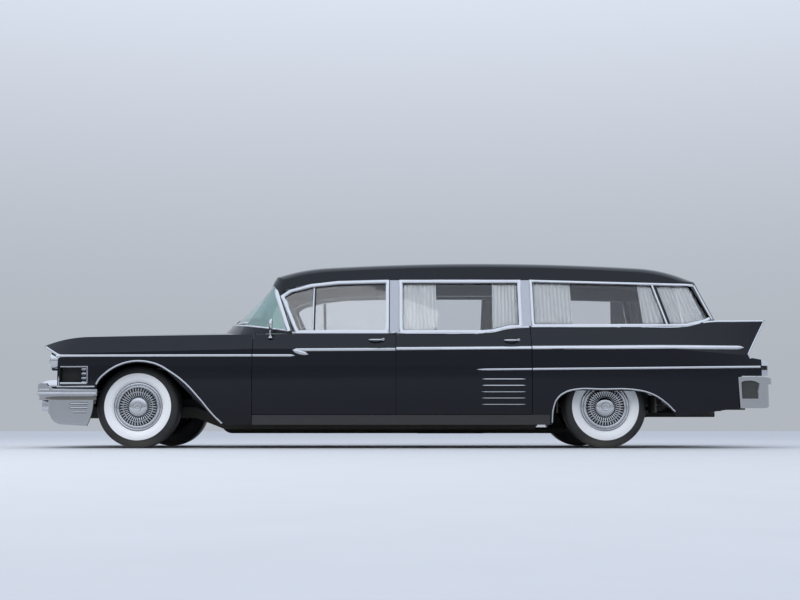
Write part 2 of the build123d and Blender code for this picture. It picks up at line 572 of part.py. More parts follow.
# Floor pan with the raised load floor and a house over each rear wheel
KICK_FRONT_X = 1165.0
KICK_REAR_X = 1265.0
LOAD_FLOOR_Z = 560.0
FLOOR_FRONT_X = FIREWALL_X + FIREWALL_THICKNESS
WHEELHOUSE = (1330.0, 2150.0, 640.0, 930.0, 742.0)
floor_line = polygon(
    (FLOOR_FRONT_X, FLOOR_Z), (KICK_FRONT_X, FLOOR_Z), (KICK_REAR_X, LOAD_FLOOR_Z), (2860, LOAD_FLOOR_Z),
    (2860, LOAD_FLOOR_Z + FLOOR_THICKNESS), (KICK_REAR_X - 14, LOAD_FLOOR_Z + FLOOR_THICKNESS),
    (KICK_FRONT_X - 14, FLOOR_Z + FLOOR_THICKNESS), (FLOOR_FRONT_X, FLOOR_Z + FLOOR_THICKNESS),
)
low_floor = side_prism(floor_line, 0, ROCKER_INNER_Y)
house_x0, house_x1, house_y0, house_y1, house_top = WHEELHOUSE
wheel_space = block(house_x0, house_x1, house_y0, 1100, 200, house_top)
WHEELHOUSE_WALL = 12.0
WHEELHOUSE_LOW_Z = 300.0
wheelhouse = block(
    house_x0 - WHEELHOUSE_WALL, house_x1 + WHEELHOUSE_WALL, house_y0 - WHEELHOUSE_WALL, house_y1,
    WHEELHOUSE_LOW_Z, house_top + WHEELHOUSE_WALL)
wheelhouse = wheelhouse - block(house_x0, house_x1, 0, house_y0, 0, LOAD_FLOOR_Z)
floor_half = low_floor + wheelhouse - wheel_space
floor = floor_half + to_left(floor_half)

# Loading door: lower slab bowed in plan, glasshouse frame above
LOADING_DOOR_FOOT_Z = 616.0
SLAB_REAR_X = 2936.0
SLAB_EDGE_X = 2908.0
SLAB_FRONT_X = 2850.0
SHELF_FRONT_X = 2780.0
slab_plan = face_of(
    ThreePointArc((SLAB_REAR_X, 0), (SLAB_REAR_X - 7, 320), (SLAB_EDGE_X, LOADING_DOOR_HALF_WIDTH)),
    Line((SLAB_EDGE_X, LOADING_DOOR_HALF_WIDTH), (SLAB_FRONT_X, LOADING_DOOR_HALF_WIDTH)),
    Line((SLAB_FRONT_X, LOADING_DOOR_HALF_WIDTH), (SLAB_FRONT_X, 0)),
    Line((SLAB_FRONT_X, 0), (SLAB_REAR_X, 0)),
)
loading_slab = plan_prism(slab_plan, LOADING_DOOR_FOOT_Z, 990)
loading_shelf = block(SHELF_FRONT_X, SLAB_FRONT_X, 0, LOADING_DOOR_HALF_WIDTH, 952, 990)
loading_frame = (glass_shell & loading_zone & block(2400, 3200, 0, 900, 955, 1500)) - tail_window_cut
loading_half = loading_slab + loading_shelf + loading_frame
loading_door = loading_half + to_left(loading_half)
tail_pane_half = pane_shell & tail_window_cut & loading_zone
tail_pane = tail_pane_half + to_left(tail_pane_half)

# Frame: two side rails
RAIL_INNER_Y = 380.0
RAIL_OUTER_Y = 450.0
RAIL_DEPTH = 92.0
RAIL_FRONT_Z = 262.0
RAIL_MIDDLE_Z = 160.0
RAIL_TAIL_Z = 330.0
RAIL_LINE = (
    (-2960.0, RAIL_FRONT_Z), (-1800.0, RAIL_FRONT_Z), (-1540.0, RAIL_MIDDLE_Z), (1180.0, RAIL_MIDDLE_Z),
    (1400.0, 440.0), (2240.0, 440.0), (2480.0, RAIL_TAIL_Z), (3040.0, RAIL_TAIL_Z),
)
rail_outline = polygon(*RAIL_LINE, *[(x, z + RAIL_DEPTH) for x, z in reversed(RAIL_LINE)])
rail = side_prism(rail_outline, RAIL_INNER_Y, RAIL_OUTER_Y)

# Members between the rails
MEMBER_LOW_Z = 186.0
ARM_SEAT_Y = RAIL_INNER_Y + 20.0
# x start, x end, half width, z low, z high
CROSS_MEMBERS = (
    (-2840.0, -2780.0, RAIL_INNER_Y, 268.0, 330.0),
    (FRONT_AXLE_X - 76.0, FRONT_AXLE_X + 76.0, ARM_SEAT_Y, 200.0, RAIL_FRONT_Z),
    (-1380.0, -1320.0, RAIL_INNER_Y, MEMBER_LOW_Z, FLOOR_Z),
    (-60.0, 0.0, RAIL_INNER_Y, MEMBER_LOW_Z, FLOOR_Z),
    (1000.0, 1060.0, RAIL_INNER_Y, MEMBER_LOW_Z, FLOOR_Z),
    (2560.0, 2620.0, RAIL_INNER_Y, 336.0, 410.0),
)
members = [block(x0, x1, -half, half, z0, z1) for x0, x1, half, z0, z1 in CROSS_MEMBERS]

# Brackets on each rail: outriggers that carry the body, the spring tower and the tail post
OUTRIGGER_XS = (-1400.0, -40.0, 1020.0)
OUTRIGGER_END_Y = 880.0
TOWER_HALF_LENGTH = 70.0
brackets = [block(x - 30, x + 30, RAIL_OUTER_Y, OUTRIGGER_END_Y, 200, FLOOR_Z) for x in OUTRIGGER_XS]
tower_x0 = FRONT_AXLE_X - TOWER_HALF_LENGTH
tower_x1 = FRONT_AXLE_X + TOWER_HALF_LENGTH
brackets.append(block(tower_x0, tower_x1, 396, RAIL_OUTER_Y, RAIL_FRONT_Z + RAIL_DEPTH, KINGPIN_HIGH_Z + 40))
brackets.append(block(2640, 2700, RAIL_INNER_Y, RAIL_OUTER_Y, RAIL_TAIL_Z + RAIL_DEPTH, LOAD_FLOOR_Z))
frame_members = members + brackets + [to_left(bracket) for bracket in brackets]

# Front suspension arms, above and below each kingpin
WHEEL_Z = TYRE_RADIUS
lower_arm = block(FRONT_AXLE_X - ARM_WIDTH / 2, FRONT_AXLE_X + ARM_WIDTH / 2, ARM_SEAT_Y, KINGPIN_Y + 30,
                  KINGPIN_LOW_Z - FIT - ARM_THICKNESS, KINGPIN_LOW_Z - FIT)
upper_arm = block(FRONT_AXLE_X - ARM_WIDTH / 2, FRONT_AXLE_X + ARM_WIDTH / 2, RAIL_OUTER_Y, KINGPIN_Y + 30,
                  KINGPIN_HIGH_Z + FIT, KINGPIN_HIGH_Z + FIT + ARM_THICKNESS)
arms = [lower_arm, upper_arm, to_left(lower_arm), to_left(upper_arm)]

# Knuckle: kingpin and spindle
SPINDLE_END_Y = HALF_TRACK + 52.0
kingpin = Pos(FRONT_AXLE_X, KINGPIN_Y, KINGPIN_LOW_Z) * Cylinder(
    KINGPIN_RADIUS, KINGPIN_HIGH_Z - KINGPIN_LOW_Z, align=(Align.CENTER, Align.CENTER, Align.MIN))
knuckle = kingpin + across(SPINDLE_RADIUS, FRONT_AXLE_X, WHEEL_Z, KINGPIN_Y, SPINDLE_END_Y)

# Rear axle: tube with its differential housing, and leaf springs
AXLE_FLANGE_Y = HALF_TRACK - 84.0
axle_tube = across(AXLE_TUBE_RADIUS, REAR_AXLE_X, WHEEL_Z, 0, AXLE_FLANGE_Y)
axle_stub = across(SPINDLE_RADIUS, REAR_AXLE_X, WHEEL_Z, AXLE_FLANGE_Y, SPINDLE_END_Y)
housing = Pos(REAR_AXLE_X, 0, WHEEL_Z) * Sphere(DIFFERENTIAL_RADIUS)
rear_axle = axle_tube + axle_stub
rear_axle = rear_axle + to_left(rear_axle) + housing
SPRING_WIDTH = 64.0
SPRING_THICKNESS = 38.0
spring_top = WHEEL_Z - AXLE_TUBE_RADIUS
spring_front = (REAR_AXLE_X - SPRING_FRONT_LENGTH, spring_top + 110)
spring_rear = (REAR_AXLE_X + SPRING_REAR_LENGTH, spring_top + 110)
spring_rear_low = (spring_rear[0], spring_rear[1] - SPRING_THICKNESS * 0.5)
spring_front_low = (spring_front[0], spring_front[1] - SPRING_THICKNESS * 0.5)
spring_face = face_of(
    ThreePointArc(spring_front, (REAR_AXLE_X, spring_top), spring_rear),
    Line(spring_rear, spring_rear_low),
    ThreePointArc(spring_rear_low, (REAR_AXLE_X, spring_top - SPRING_THICKNESS), spring_front_low),
    Line(spring_front_low, spring_front),
)
spring = side_prism(spring_face, SPRING_Y - SPRING_WIDTH / 2, SPRING_Y + SPRING_WIDTH / 2)
spring_seat = block(
    REAR_AXLE_X - 60, REAR_AXLE_X + 60, SPRING_Y - 40, SPRING_Y + 40, spring_top - 4, spring_top + 40)
shackles = [
    block(x - 22, x + 22, RAIL_OUTER_Y, SPRING_Y + SPRING_WIDTH / 2, spring_top + 95, spring_top + 150)
    for x in (spring_front[0] + 20, spring_rear[0] - 20)
]
spring_set = spring + spring_seat + shackles[0] + shackles[1]
rear_axle = rear_axle + spring_set + to_left(spring_set)

# Heavy masses below the floor and hood
ENGINE_LOW_Z = 300.0
engine = block(-2290, -1580, -255, 255, ENGINE_LOW_Z, 880)
engine_mount = block(FRONT_AXLE_X - 60, FRONT_AXLE_X + 60, -200, 200, RAIL_FRONT_Z, ENGINE_LOW_Z)
engine = engine + engine_mount
PIPE_RADIUS = 28.0
PIPE_Z = 150.0
PIPE_TAIL_Z = 300.0
PIPE_Y = 215.0
PIPE_FRONT_X = -1640.0
PIPE_TAIL_X = 2930.0
PIPE_BEND = 80.0
FROM_BASE = (Align.CENTER, Align.CENTER, Align.MIN)
pipe_path = FilletPolyline(
    (PIPE_FRONT_X, PIPE_Y, ENGINE_LOW_Z), (PIPE_FRONT_X, PIPE_Y, PIPE_Z), (REAR_AXLE_X + 50, PIPE_Y, PIPE_Z),
    (REAR_AXLE_X + 230, PIPE_Y, PIPE_TAIL_Z), (PIPE_TAIL_X, PIPE_Y, PIPE_TAIL_Z), radius=PIPE_BEND,
)
pipe = sweep(Plane(origin=pipe_path @ 0, z_dir=pipe_path % 0) * Circle(PIPE_RADIUS), path=pipe_path)
silencer = Pos(160, PIPE_Y, PIPE_Z + 32) * Rot(0, 90, 0) * Cylinder(62, 620, align=FROM_BASE)
exhaust = pipe + silencer
for x0 in (-1380.0, -60.0, 1000.0):
    exhaust = exhaust + block(x0 + 20, x0 + 40, PIPE_Y - 8, PIPE_Y + 8, PIPE_Z, MEMBER_LOW_Z)
tank = block(2180, 2540, -330, 330, 380, LOAD_FLOOR_Z)

# Wheel and tyre, turned about the axle line
def turned(profile, axle_x):
    return Pos(axle_x, 0, WHEEL_Z) * revolve(profile, Axis.Y)


bore = SPINDLE_RADIUS + FIT
bore_end_y = SPINDLE_END_Y + 3.0
rim_outer = TYRE_BEAD_RADIUS - FIT
rim_inner = rim_outer - RIM_WALL
rim_low_y = HALF_TRACK - RIM_WIDTH / 2
rim_high_y = HALF_TRACK + RIM_WIDTH / 2
hub_low_y = HALF_TRACK - 60.0
disc_y = bore_end_y + 3.0
dome_y = rim_high_y + COVER_DOME
wheel_profile = face_of(
    Polyline((0, dome_y), (0, bore_end_y), (bore, bore_end_y), (bore, hub_low_y), (HUB_RADIUS, hub_low_y),
             (HUB_RADIUS, disc_y), (rim_inner, disc_y - 14), (rim_inner, rim_low_y), (rim_outer, rim_low_y),
             (rim_outer, rim_high_y), (192, rim_high_y + 11), (185, rim_high_y + 3), (178, rim_high_y + 11),
             (166, rim_high_y + 11), (161, rim_high_y + 4), (124, rim_high_y + 7), (112, rim_high_y + 14),
             (100, rim_high_y + 14), (86, rim_high_y + 6)),
    ThreePointArc((86, rim_high_y + 6), (56, rim_high_y + 26), (12, dome_y)),
    Line((12, dome_y), (0, dome_y)),
)
half_width = TYRE_WIDTH / 2
half_tread = TYRE_TREAD_WIDTH / 2
TYRE_BEAD_HALF_WIDTH = 72.0
SHOULDER_DROP = 14.0
SHOULDER_INSET = 16.0


def tyre_side(side):
    """The bead, bulge, shoulder and tread edge of one side of the tyre's profile."""
    bead = (TYRE_BEAD_RADIUS, HALF_TRACK + side * TYRE_BEAD_HALF_WIDTH)
    bulge = (TYRE_BULGE_RADIUS - 20, HALF_TRACK + side * half_width)
    shoulder = (TYRE_RADIUS - SHOULDER_DROP, HALF_TRACK + side * (half_width - SHOULDER_INSET))
    tread_edge = (TYRE_RADIUS, HALF_TRACK + side * half_tread)
    return bead, bulge, shoulder, tread_edge


outer_side = tyre_side(1)
inner_side = tyre_side(-1)
tyre_profile = face_of(
    ThreePointArc(*outer_side[:3]),
    Polyline(*outer_side[2:], *reversed(inner_side[2:])),
    ThreePointArc(*reversed(inner_side[:3])),
    Line(inner_side[0], outer_side[0]),
)
for axle_name, axle_x in (("front", FRONT_AXLE_X), ("rear", REAR_AXLE_X)):
    save_pair(f"wheel_{axle_name}", turned(wheel_profile, axle_x))
    save_pair(f"tyre_{axle_name}", turned(tyre_profile, axle_x))

# Bumpers: bands that follow a bowed plan line round the corners
BAND_CORNER_Y = 850.0
BAND_BOW_Y = 440.0


def bumper_band(centre_x, corner_x, side_end_x, side_y, thickness):
    """Half of a band in plan; its corners bend from the face to the side."""
    sign = 1.0 if side_end_x > centre_x else -1.0
    bow = centre_x + (corner_x - centre_x) * 0.28

    def line(offset_in):
        y_side = side_y - offset_in
        shift = sign * offset_in
        bend_y = BAND_CORNER_Y + (y_side - BAND_CORNER_Y) * 0.72
        return (
            (centre_x + shift, 0), (bow + shift, BAND_BOW_Y), (corner_x + shift, BAND_CORNER_Y),
            (corner_x + shift + sign * 34, bend_y), (corner_x + sign * 120, y_side - 8), (side_end_x, y_side),
        )

    a = line(0.0)
    b = line(thickness)
    return face_of(
        ThreePointArc(a[0], a[1], a[2]), ThreePointArc(a[2], a[3], a[4]), Line(a[4], a[5]), Line(a[5], b[5]),
        Line(b[5], b[4]), ThreePointArc(b[4], b[3], b[2]), ThreePointArc(b[2], b[1], b[0]), Line(b[0], a[0]),
    )


BLADE_LOW_Z = 440.0
BLADE_SIDE_Z = 496.0
BLADE_TOP_Z = 545.0
BLADE_END_X = -2545.0
BLADE_CORNER_X = -3072.0
BUMPER_SIDE_Y = 978.0
BUMPER_WALL = 36.0
blade_side = face_of(
    Line((BLADE_END_X, BLADE_LOW_Z), (BLADE_END_X, BLADE_SIDE_Z)),
    Line((BLADE_END_X, BLADE_SIDE_Z), (-2905, BLADE_SIDE_Z + 4)),
    ThreePointArc((-2905, BLADE_SIDE_Z + 4), (-2945, 512), (-2972, BLADE_TOP_Z)),
    Line((-2972, BLADE_TOP_Z), (-3020, BLADE_TOP_Z + 1)),
    ThreePointArc((-3020, BLADE_TOP_Z + 1), (-3056, 536), (-3080, 514)),
    Line((-3080, 514), (-3300, 508)),
    Line((-3300, 508), (-3300, BLADE_LOW_Z)),
    Line((-3300, BLADE_LOW_Z), (BLADE_END_X, BLADE_LOW_Z)),
)
blade_plan = bumper_band(FRONT_END_X, BLADE_CORNER_X, BLADE_END_X, BUMPER_SIDE_Y, BUMPER_WALL)
blade = plan_prism(blade_plan, BLADE_LOW_Z, BLADE_TOP_Z + 2) & side_prism(blade_side, -1, 1100)

# Returned lower lip of the blade, set back from its face
LIP_LOW_Z = 404.0
LIP_SETBACK = 12.0
lip_plan = bumper_band(
    FRONT_END_X + LIP_SETBACK, BLADE_CORNER_X + LIP_SETBACK, BLADE_END_X - 34,
    BUMPER_SIDE_Y - LIP_SETBACK, 30)
blade_lip = plan_prism(lip_plan, LIP_LOW_Z, BLADE_LOW_Z)

# Wing below the blade, further back, with three bars over slots in its side
WING_SETBACK = 90.0
WING_REAR_X = -2577.0
WING_SIDE_Y = 960.0
WING_WALL = 22.0
wing_side = face_of(
    Line((-3300, LIP_LOW_Z), (-3300, 300)),
    Line((-3300, 300), (-2952, 290)),
    ThreePointArc((-2952, 290), (-2915, 232), (-2830, 200)),
    Line((-2830, 200), (-2630, 187)),
    ThreePointArc((-2630, 187), (-2597, 270), (WING_REAR_X, LIP_LOW_Z)),
    Line((WING_REAR_X, LIP_LOW_Z), (-3300, LIP_LOW_Z)),
)
wing_plan = bumper_band(
    FRONT_END_X + WING_SETBACK, BLADE_CORNER_X + WING_SETBACK, WING_REAR_X, WING_SIDE_Y, WING_WALL)
wing = plan_prism(wing_plan, 180, LIP_LOW_Z) & side_prism(wing_side, 0, 1100)
SLOT_ROWS = ((-2770.0, -2622.0, 375.0), (-2770.0, -2626.0, 340.0), (-2740.0, -2636.0, 305.0))
SLOT_HALF_HEIGHT = 11.0
SLOT_BAR_HALF_HEIGHT = 6.0
slot_floor_y = WING_SIDE_Y - WING_WALL + 6.0
for x0, x1, z in SLOT_ROWS:
    wing = wing - block(x0, x1, slot_floor_y, 1000, z - SLOT_HALF_HEIGHT, z + SLOT_HALF_HEIGHT)
    slot_bar = block(
        x0 + 4, x1 - 4, slot_floor_y - 1, WING_SIDE_Y - 6, z - SLOT_BAR_HALF_HEIGHT, z + SLOT_BAR_HALF_HEIGHT)
    wing = wing + slot_bar
BUMPER_ARM_Y = (395.0, 440.0)
bumper_arm = block(FRONT_END_X + WING_SETBACK + 34, -2960, *BUMPER_ARM_Y, 300, 345)
bumper_arm = bumper_arm + block(FRONT_END_X + 40, -3040, *BUMPER_ARM_Y, 330, LIP_LOW_Z + 20)
front_bumper_half = blade + blade_lip + wing + bumper_arm
front_bumper = front_bumper_half + to_left(front_bumper_half)

# Rear bumper: a bar across, and a deep pod at each end with a recess in its side
REAR_CORNER_X = 3150.0
POD_FRONT_X = 2852.0
POD_INNER_Y = 600.0
POD_LOW_Z = 336.0
POD_BEAK_Z = 535.0
POD_SETBACK = 24.0
beak_side = face_of(
    Line((POD_FRONT_X - 4, POD_BEAK_Z), (POD_FRONT_X - 6, BUMPER_TOP_Z)),
    Line((POD_FRONT_X - 6, BUMPER_TOP_Z), (3020, BUMPER_TOP_Z)),
    ThreePointArc((3020, BUMPER_TOP_Z), (3110, 592), (3200, 568)),
    Line((3200, 568), (3200, POD_BEAK_Z)),
    Line((3200, POD_BEAK_Z), (POD_FRONT_X - 4, POD_BEAK_Z)),
)
pod_side = face_of(
    Line((POD_FRONT_X + 6, POD_LOW_Z), (POD_FRONT_X - 4, POD_BEAK_Z)),
    Line((POD_FRONT_X - 4, POD_BEAK_Z), (3200, POD_BEAK_Z)),
    Line((3200, POD_BEAK_Z), (3160, 400)),
    ThreePointArc((3160, 400), (3124, 356), (3060, POD_LOW_Z)),
    Line((3060, POD_LOW_Z), (POD_FRONT_X + 6, POD_LOW_Z)),
)
beak_plan = bumper_band(REAR_END_X, REAR_CORNER_X, POD_FRONT_X - 6, BUMPER_SIDE_Y, BUMPER_WALL + 4)
pod_plan = bumper_band(
    REAR_END_X - POD_SETBACK, REAR_CORNER_X - POD_SETBACK, POD_FRONT_X - 4,
    BUMPER_SIDE_Y - 2, BUMPER_WALL + 4)
pod_zone = block(2800, 3300, POD_INNER_Y, 1100, 300, 700)
beak = plan_prism(beak_plan, POD_BEAK_Z, BUMPER_TOP_Z) & pod_zone & side_prism(beak_side, -1, 1100)
pod = plan_prism(pod_plan, POD_LOW_Z, POD_BEAK_Z) & pod_zone & side_prism(pod_side, -1, 1100)
POD_RECESS_FLOOR_Y = 954.0
pod_recess = face_of(
    Line((2874, 412), (2870, 562)),
    ThreePointArc((2870, 562), (2960, 574), (3032, 548)),
    ThreePointArc((3032, 548), (3014, 480), (3020, 412)),
    Line((3020, 412), (2874, 412)),
)
rear_pod = beak + pod - side_prism(pod_recess, POD_RECESS_FLOOR_Y, 1100)
rear_bar_plan = bumper_band(REAR_END_X, REAR_CORNER_X, POD_FRONT_X, BUMPER_SIDE_Y, BUMPER_WALL + 24)
rear_bar = plan_prism(rear_bar_plan, 420, 540) & block(3000, 3300, -1, POD_INNER_Y + 60, 300, 700)
rear_arm = block(3040, 3150, *BUMPER_ARM_Y, 345, 425) + block(3120, 3150, *BUMPER_ARM_Y, 345, 500)
rear_bumper_half = rear_bar + rear_pod + rear_arm
rear_bumper = rear_bumper_half + to_left(rear_bumper_half)

# Grille between the fenders: a plate pierced by rows of cells
GRILLE_X = LAMP_WALL_X
GRILLE_HALF_WIDTH = 580.0
GRILLE_HEIGHT = 230.0
GRILLE_MIDDLE_Z = 625.0
CELL_PITCH_Y = 56.0
CELL_PITCH_Z = 44.0
CELL_BAR = 12.0
cell = Rectangle(CELL_PITCH_Y - CELL_BAR, CELL_PITCH_Z - CELL_BAR)
grille_cells = GridLocations(CELL_PITCH_Y, CELL_PITCH_Z, 19, 5) * cell
grille_sheet = Pos(0, GRILLE_MIDDLE_Z) * (Rectangle(2 * GRILLE_HALF_WIDTH, GRILLE_HEIGHT) - grille_cells)
grille = extrude(Plane.YZ.offset(GRILLE_X) * grille_sheet, 22)

# Headlamps: four round lamps on the lamp walls
LAMP_Z = 738.0
LAMP_RADIUS = 84.0
LAMP_LENGTH = 102.0
LENS_RIM = 12.0
LAMP_YS = (660.0, 842.0)
lamp_face = face_of(
    Polyline((0, 0), (LAMP_RADIUS, 0), (LAMP_RADIUS, LAMP_LENGTH - 40)),
    ThreePointArc((LAMP_RADIUS, LAMP_LENGTH - 40), (LAMP_RADIUS - 2, LAMP_LENGTH - 24),
                  (LAMP_RADIUS - LENS_RIM, LAMP_LENGTH - 17)),
    ThreePointArc((LAMP_RADIUS - LENS_RIM, LAMP_LENGTH - 17), (44, LAMP_LENGTH - 6), (12, LAMP_LENGTH)),
    Polyline((12, LAMP_LENGTH), (0, LAMP_LENGTH), (0, 0)),
)
lamp = revolve(Plane.XZ * lamp_face, Axis.Z)
lamps = [Pos(BROW_REAR_X, lamp_y, LAMP_Z) * Rot(0, -90, 0) * lamp for lamp_y in LAMP_YS]
headlamps = lamps + [to_left(shape) for shape in lamps]

# Tail lamps: housings that close the pods, each with a round well and a lens in it
LENS_RADIUS = 40.0
LENS_WELL_X = 3070.0
lens_place = Pos(LENS_WELL_X, 925, 672) * Rot(0, 90, 0)
lens_well = lens_place * Cylinder(LENS_RADIUS + 3, 60, align=FROM_BASE)
tail_lens = lens_place * Cone(LENS_RADIUS, LENS_RADIUS - 12, 22, align=FROM_BASE)
tail_lamp = pod_end - lens_well + tail_lens

# Inside: dashboard, steering wheel, seat and load deck
dash_front_x = FIREWALL_X + FIREWALL_THICKNESS
dash_outline = polygon(
    (dash_front_x, 760), (dash_front_x, 930), (-1190, 930), (-1120, 890), (-1120, 790), (-1170, 760))
dashboard = side_prism(dash_outline, -780, 780)
STEERING_X = -905.0
STEERING_Z = 930.0
steering_place = Pos(STEERING_X, -400, STEERING_Z) * Rot(0, -118, 0)
steering_rim = Torus(205, 11)
steering_hub = Cylinder(30, 26)
spokes = Box(400, 22, 8)
column_bar = Pos(0, 0, 150) * Cylinder(20, 300)
steering = steering_place * (steering_rim + steering_hub + spokes + column_bar) - dashboard
front_cushion = block(-760, -230, -760, 760, FLOOR_Z + FLOOR_THICKNESS + FIT, 560)
back_outline = polygon((-290, 560), (-200, 1040), (-100, 1040), (-160, 470), (-225, 470), (-225, 560))
front_back = side_prism(back_outline, -760, 760)
DECK_FRONT_X = -20.0
DECK_HALF_WIDTH = 610.0
DECK_LOW_Z = LOAD_FLOOR_Z + FLOOR_THICKNESS
DECK_TOP_Z = DECK_LOW_Z + 24.0
RISER_THICKNESS = 20.0
RISER_REAR_X = 1130.0
riser_foot = FLOOR_Z + FLOOR_THICKNESS
deck = block(DECK_FRONT_X, 2840, -DECK_HALF_WIDTH, DECK_HALF_WIDTH, DECK_LOW_Z, DECK_TOP_Z)
deck = deck + block(
    DECK_FRONT_X, DECK_FRONT_X + RISER_THICKNESS, -DECK_HALF_WIDTH, DECK_HALF_WIDTH, riser_foot, DECK_LOW_Z)
for side in (-1, 1):
    outer = side * DECK_HALF_WIDTH
    inner = side * (DECK_HALF_WIDTH - RISER_THICKNESS)
    riser = block(DECK_FRONT_X, RISER_REAR_X, min(outer, inner), max(outer, inner), riser_foot, DECK_LOW_Z)
    deck = deck + riser

# Pleated curtains just inside the glass, each as a thin sheet between the window's head and sill
curtain_shell = glasshouse(CURTAIN_INSET) - glasshouse(CURTAIN_INSET + CURTAIN_THICKNESS)


def curtain(window_cut, x0, x1):
    return curtain_shell & window_cut & block(x0, x1, 500, 1100, 900, 1600)


door_curtains = [curtain(rear_window_cut, 30, 321), curtain(rear_window_cut, 788, 1038)]
behind_divider = side_prism(divider_rear, 500, 1100)
quarter_curtains = [
    curtain(quarter_cut, 1130, 1485),
    curtain(quarter_cut, 2043, 2300) - behind_divider,
    curtain(quarter_cut, 2180, 2517) & behind_divider,
]
tail_curtain = curtain_shell & tail_window_cut & loading_zone & block(2400, 3000, 300, 640, 900, 1600)

# Outside mirror on each front door
mirror_head = Pos(MIRROR_X, MIRROR_Y, MIRROR_Z) * Rot(0, 90, 0) * Cylinder(MIRROR_RADIUS, 30)
mirror_stem = Pos(MIRROR_X, MIRROR_Y, 925) * Cylinder(9, MIRROR_Z - 925, align=FROM_BASE)
mirror_foot = Pos(MIRROR_X, MIRROR_Y, 925) * Cylinder(20, 14, align=FROM_BASE)
side_mirror = (mirror_head + mirror_stem + mirror_foot) - front_door

for name, shapes in (
    ("quarter_curtains", quarter_curtains + [to_left(sheet) for sheet in quarter_curtains]),
    ("tail_curtains", [tail_curtain, to_left(tail_curtain)]),
    ("hood", [hood]), ("cowl", [cowl]), ("roof", [roof]), ("floor", [floor]),
    ("loading_door", [loading_door]),
    ("loading_door_glass", [tail_pane]), ("frame", [rail, to_left(rail)]), ("frame_members", frame_members),
    ("front_suspension", arms), ("rear_axle", [rear_axle]),
    ("engine", [engine]), ("exhaust", [exhaust]), ("fuel_tank", [tank]), ("front_bumper", [front_bumper]),
    ("rear_bumper", [rear_bumper]), ("grille", [grille]), ("headlamps", headlamps),
    ("tail_lamps", [tail_lamp, to_left(tail_lamp)]), ("dashboard", [dashboard]),
    ("steering_wheel", [steering]), ("front_seat", [front_cushion + front_back]), ("casket_deck", [deck]),
    ("rockers", [rocker, to_left(rocker)]),
    ("fixed_glass", [windshield_half + to_left(windshield_half), quarter_pane, to_left(quarter_pane)]),
):
    save(name, *shapes)

for name, shape in (
    ("front_fender", front_fender), ("quarter", quarter), ("front_door", front_door),
    ("rear_door", rear_door), ("front_door_glass", front_pane), ("rear_door_glass", rear_pane),
    ("knuckle", knuckle), ("mirror", side_mirror),
):
    save_pair(name, shape)

save("rear_door_curtains_right", *door_curtains)
save("rear_door_curtains_left", *[to_left(sheet) for sheet in door_curtains])
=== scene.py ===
# %% [markdown]
# # A funeral coach of the late nineteen-fifties
#
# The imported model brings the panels, glass, wheels and chassis in their right places and sizes.
# This script dresses it: gloss paint, plated trim, white sidewalls, curtains, glass and light.
# Everything is in metres. +X points to the rear of the car, +Y to its right-hand side and +Z up.

import math
import random

import bmesh
import bpy
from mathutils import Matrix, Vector
from mathutils.bvhtree import BVHTree


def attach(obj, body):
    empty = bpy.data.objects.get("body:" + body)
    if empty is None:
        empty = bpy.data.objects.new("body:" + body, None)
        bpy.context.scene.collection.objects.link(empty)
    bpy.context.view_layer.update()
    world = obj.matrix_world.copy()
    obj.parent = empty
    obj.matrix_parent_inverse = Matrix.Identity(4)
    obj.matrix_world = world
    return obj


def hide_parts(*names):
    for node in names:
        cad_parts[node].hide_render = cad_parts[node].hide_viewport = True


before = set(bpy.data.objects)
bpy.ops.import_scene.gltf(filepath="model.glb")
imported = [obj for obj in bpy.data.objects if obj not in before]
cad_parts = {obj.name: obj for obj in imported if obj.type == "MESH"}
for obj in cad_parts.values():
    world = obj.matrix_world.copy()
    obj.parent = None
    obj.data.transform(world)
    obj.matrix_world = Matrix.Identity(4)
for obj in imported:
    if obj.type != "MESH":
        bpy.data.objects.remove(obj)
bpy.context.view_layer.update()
SIDES = {"left": -1.0, "right": 1.0}

# %% [markdown]
# ## The camera
#
# The car is seen square on from its left side, from a place low over the road some eleven metres away.
# A camera that low looks up a little, so that the roof still fits in the picture.

# %% Camera
CAMERA_DISTANCE = 11.5
CAMERA_HEIGHT = 0.17
CAMERA_PITCH = math.radians(5.85)
camera_data = bpy.data.cameras.new("camera")
camera_data.sensor_width = 36.0
camera_data.lens = 56.25
camera = bpy.data.objects.new("camera", camera_data)
camera.location = (0.0, -CAMERA_DISTANCE, CAMERA_HEIGHT)
camera.rotation_euler = (math.pi / 2 + CAMERA_PITCH, 0.0, 0.0)
bpy.context.scene.collection.objects.link(camera)
bpy.context.scene.camera = camera
print("the camera looks up by", round(math.degrees(CAMERA_PITCH), 2), "degrees")

# %% [markdown]
# ## Helpers for materials
#
# A material is a tree of nodes round one Principled shader. These helpers add a node, feed its sockets
# and give back the result, so that a finish reads as a few lines of sums.

# %% Node helpers
BUMP_HEIGHT = 0.001


def add(tree, kind, **values):
    """A node with its settings and socket values."""
    node = tree.nodes.new(kind)
    for key, value in values.items():
        if key in node.inputs:
            node.inputs[key].default_value = value
        else:
            setattr(node, key, value)
    return node


def feed(tree, socket, value):
    """Joins an output to an input socket, or writes a number or a colour into it."""
    if isinstance(value, bpy.types.NodeSocket):
        tree.links.new(value, socket)
    else:
        socket.default_value = value


def compute(tree, operation, *values, **settings):
    """The result of a Math node for sockets and numbers."""
    node = add(tree, "ShaderNodeMath", operation=operation, **settings)
    for socket, value in zip(node.inputs, values):
        feed(tree, socket, value)
    return node.outputs[0]


def between(tree, factor, low, high, start=0.0, end=1.0, soft=False):
    """A number that goes from low to high while a factor goes from start to end."""
    node = add(tree, "ShaderNodeMapRange", interpolation_type="SMOOTHSTEP" if soft else "LINEAR")
    settings = {"Value": factor, "From Min": start, "From Max": end, "To Min": low, "To Max": high}
    for label, value in settings.items():
        feed(tree, node.inputs[label], value)
    return node.outputs["Result"]


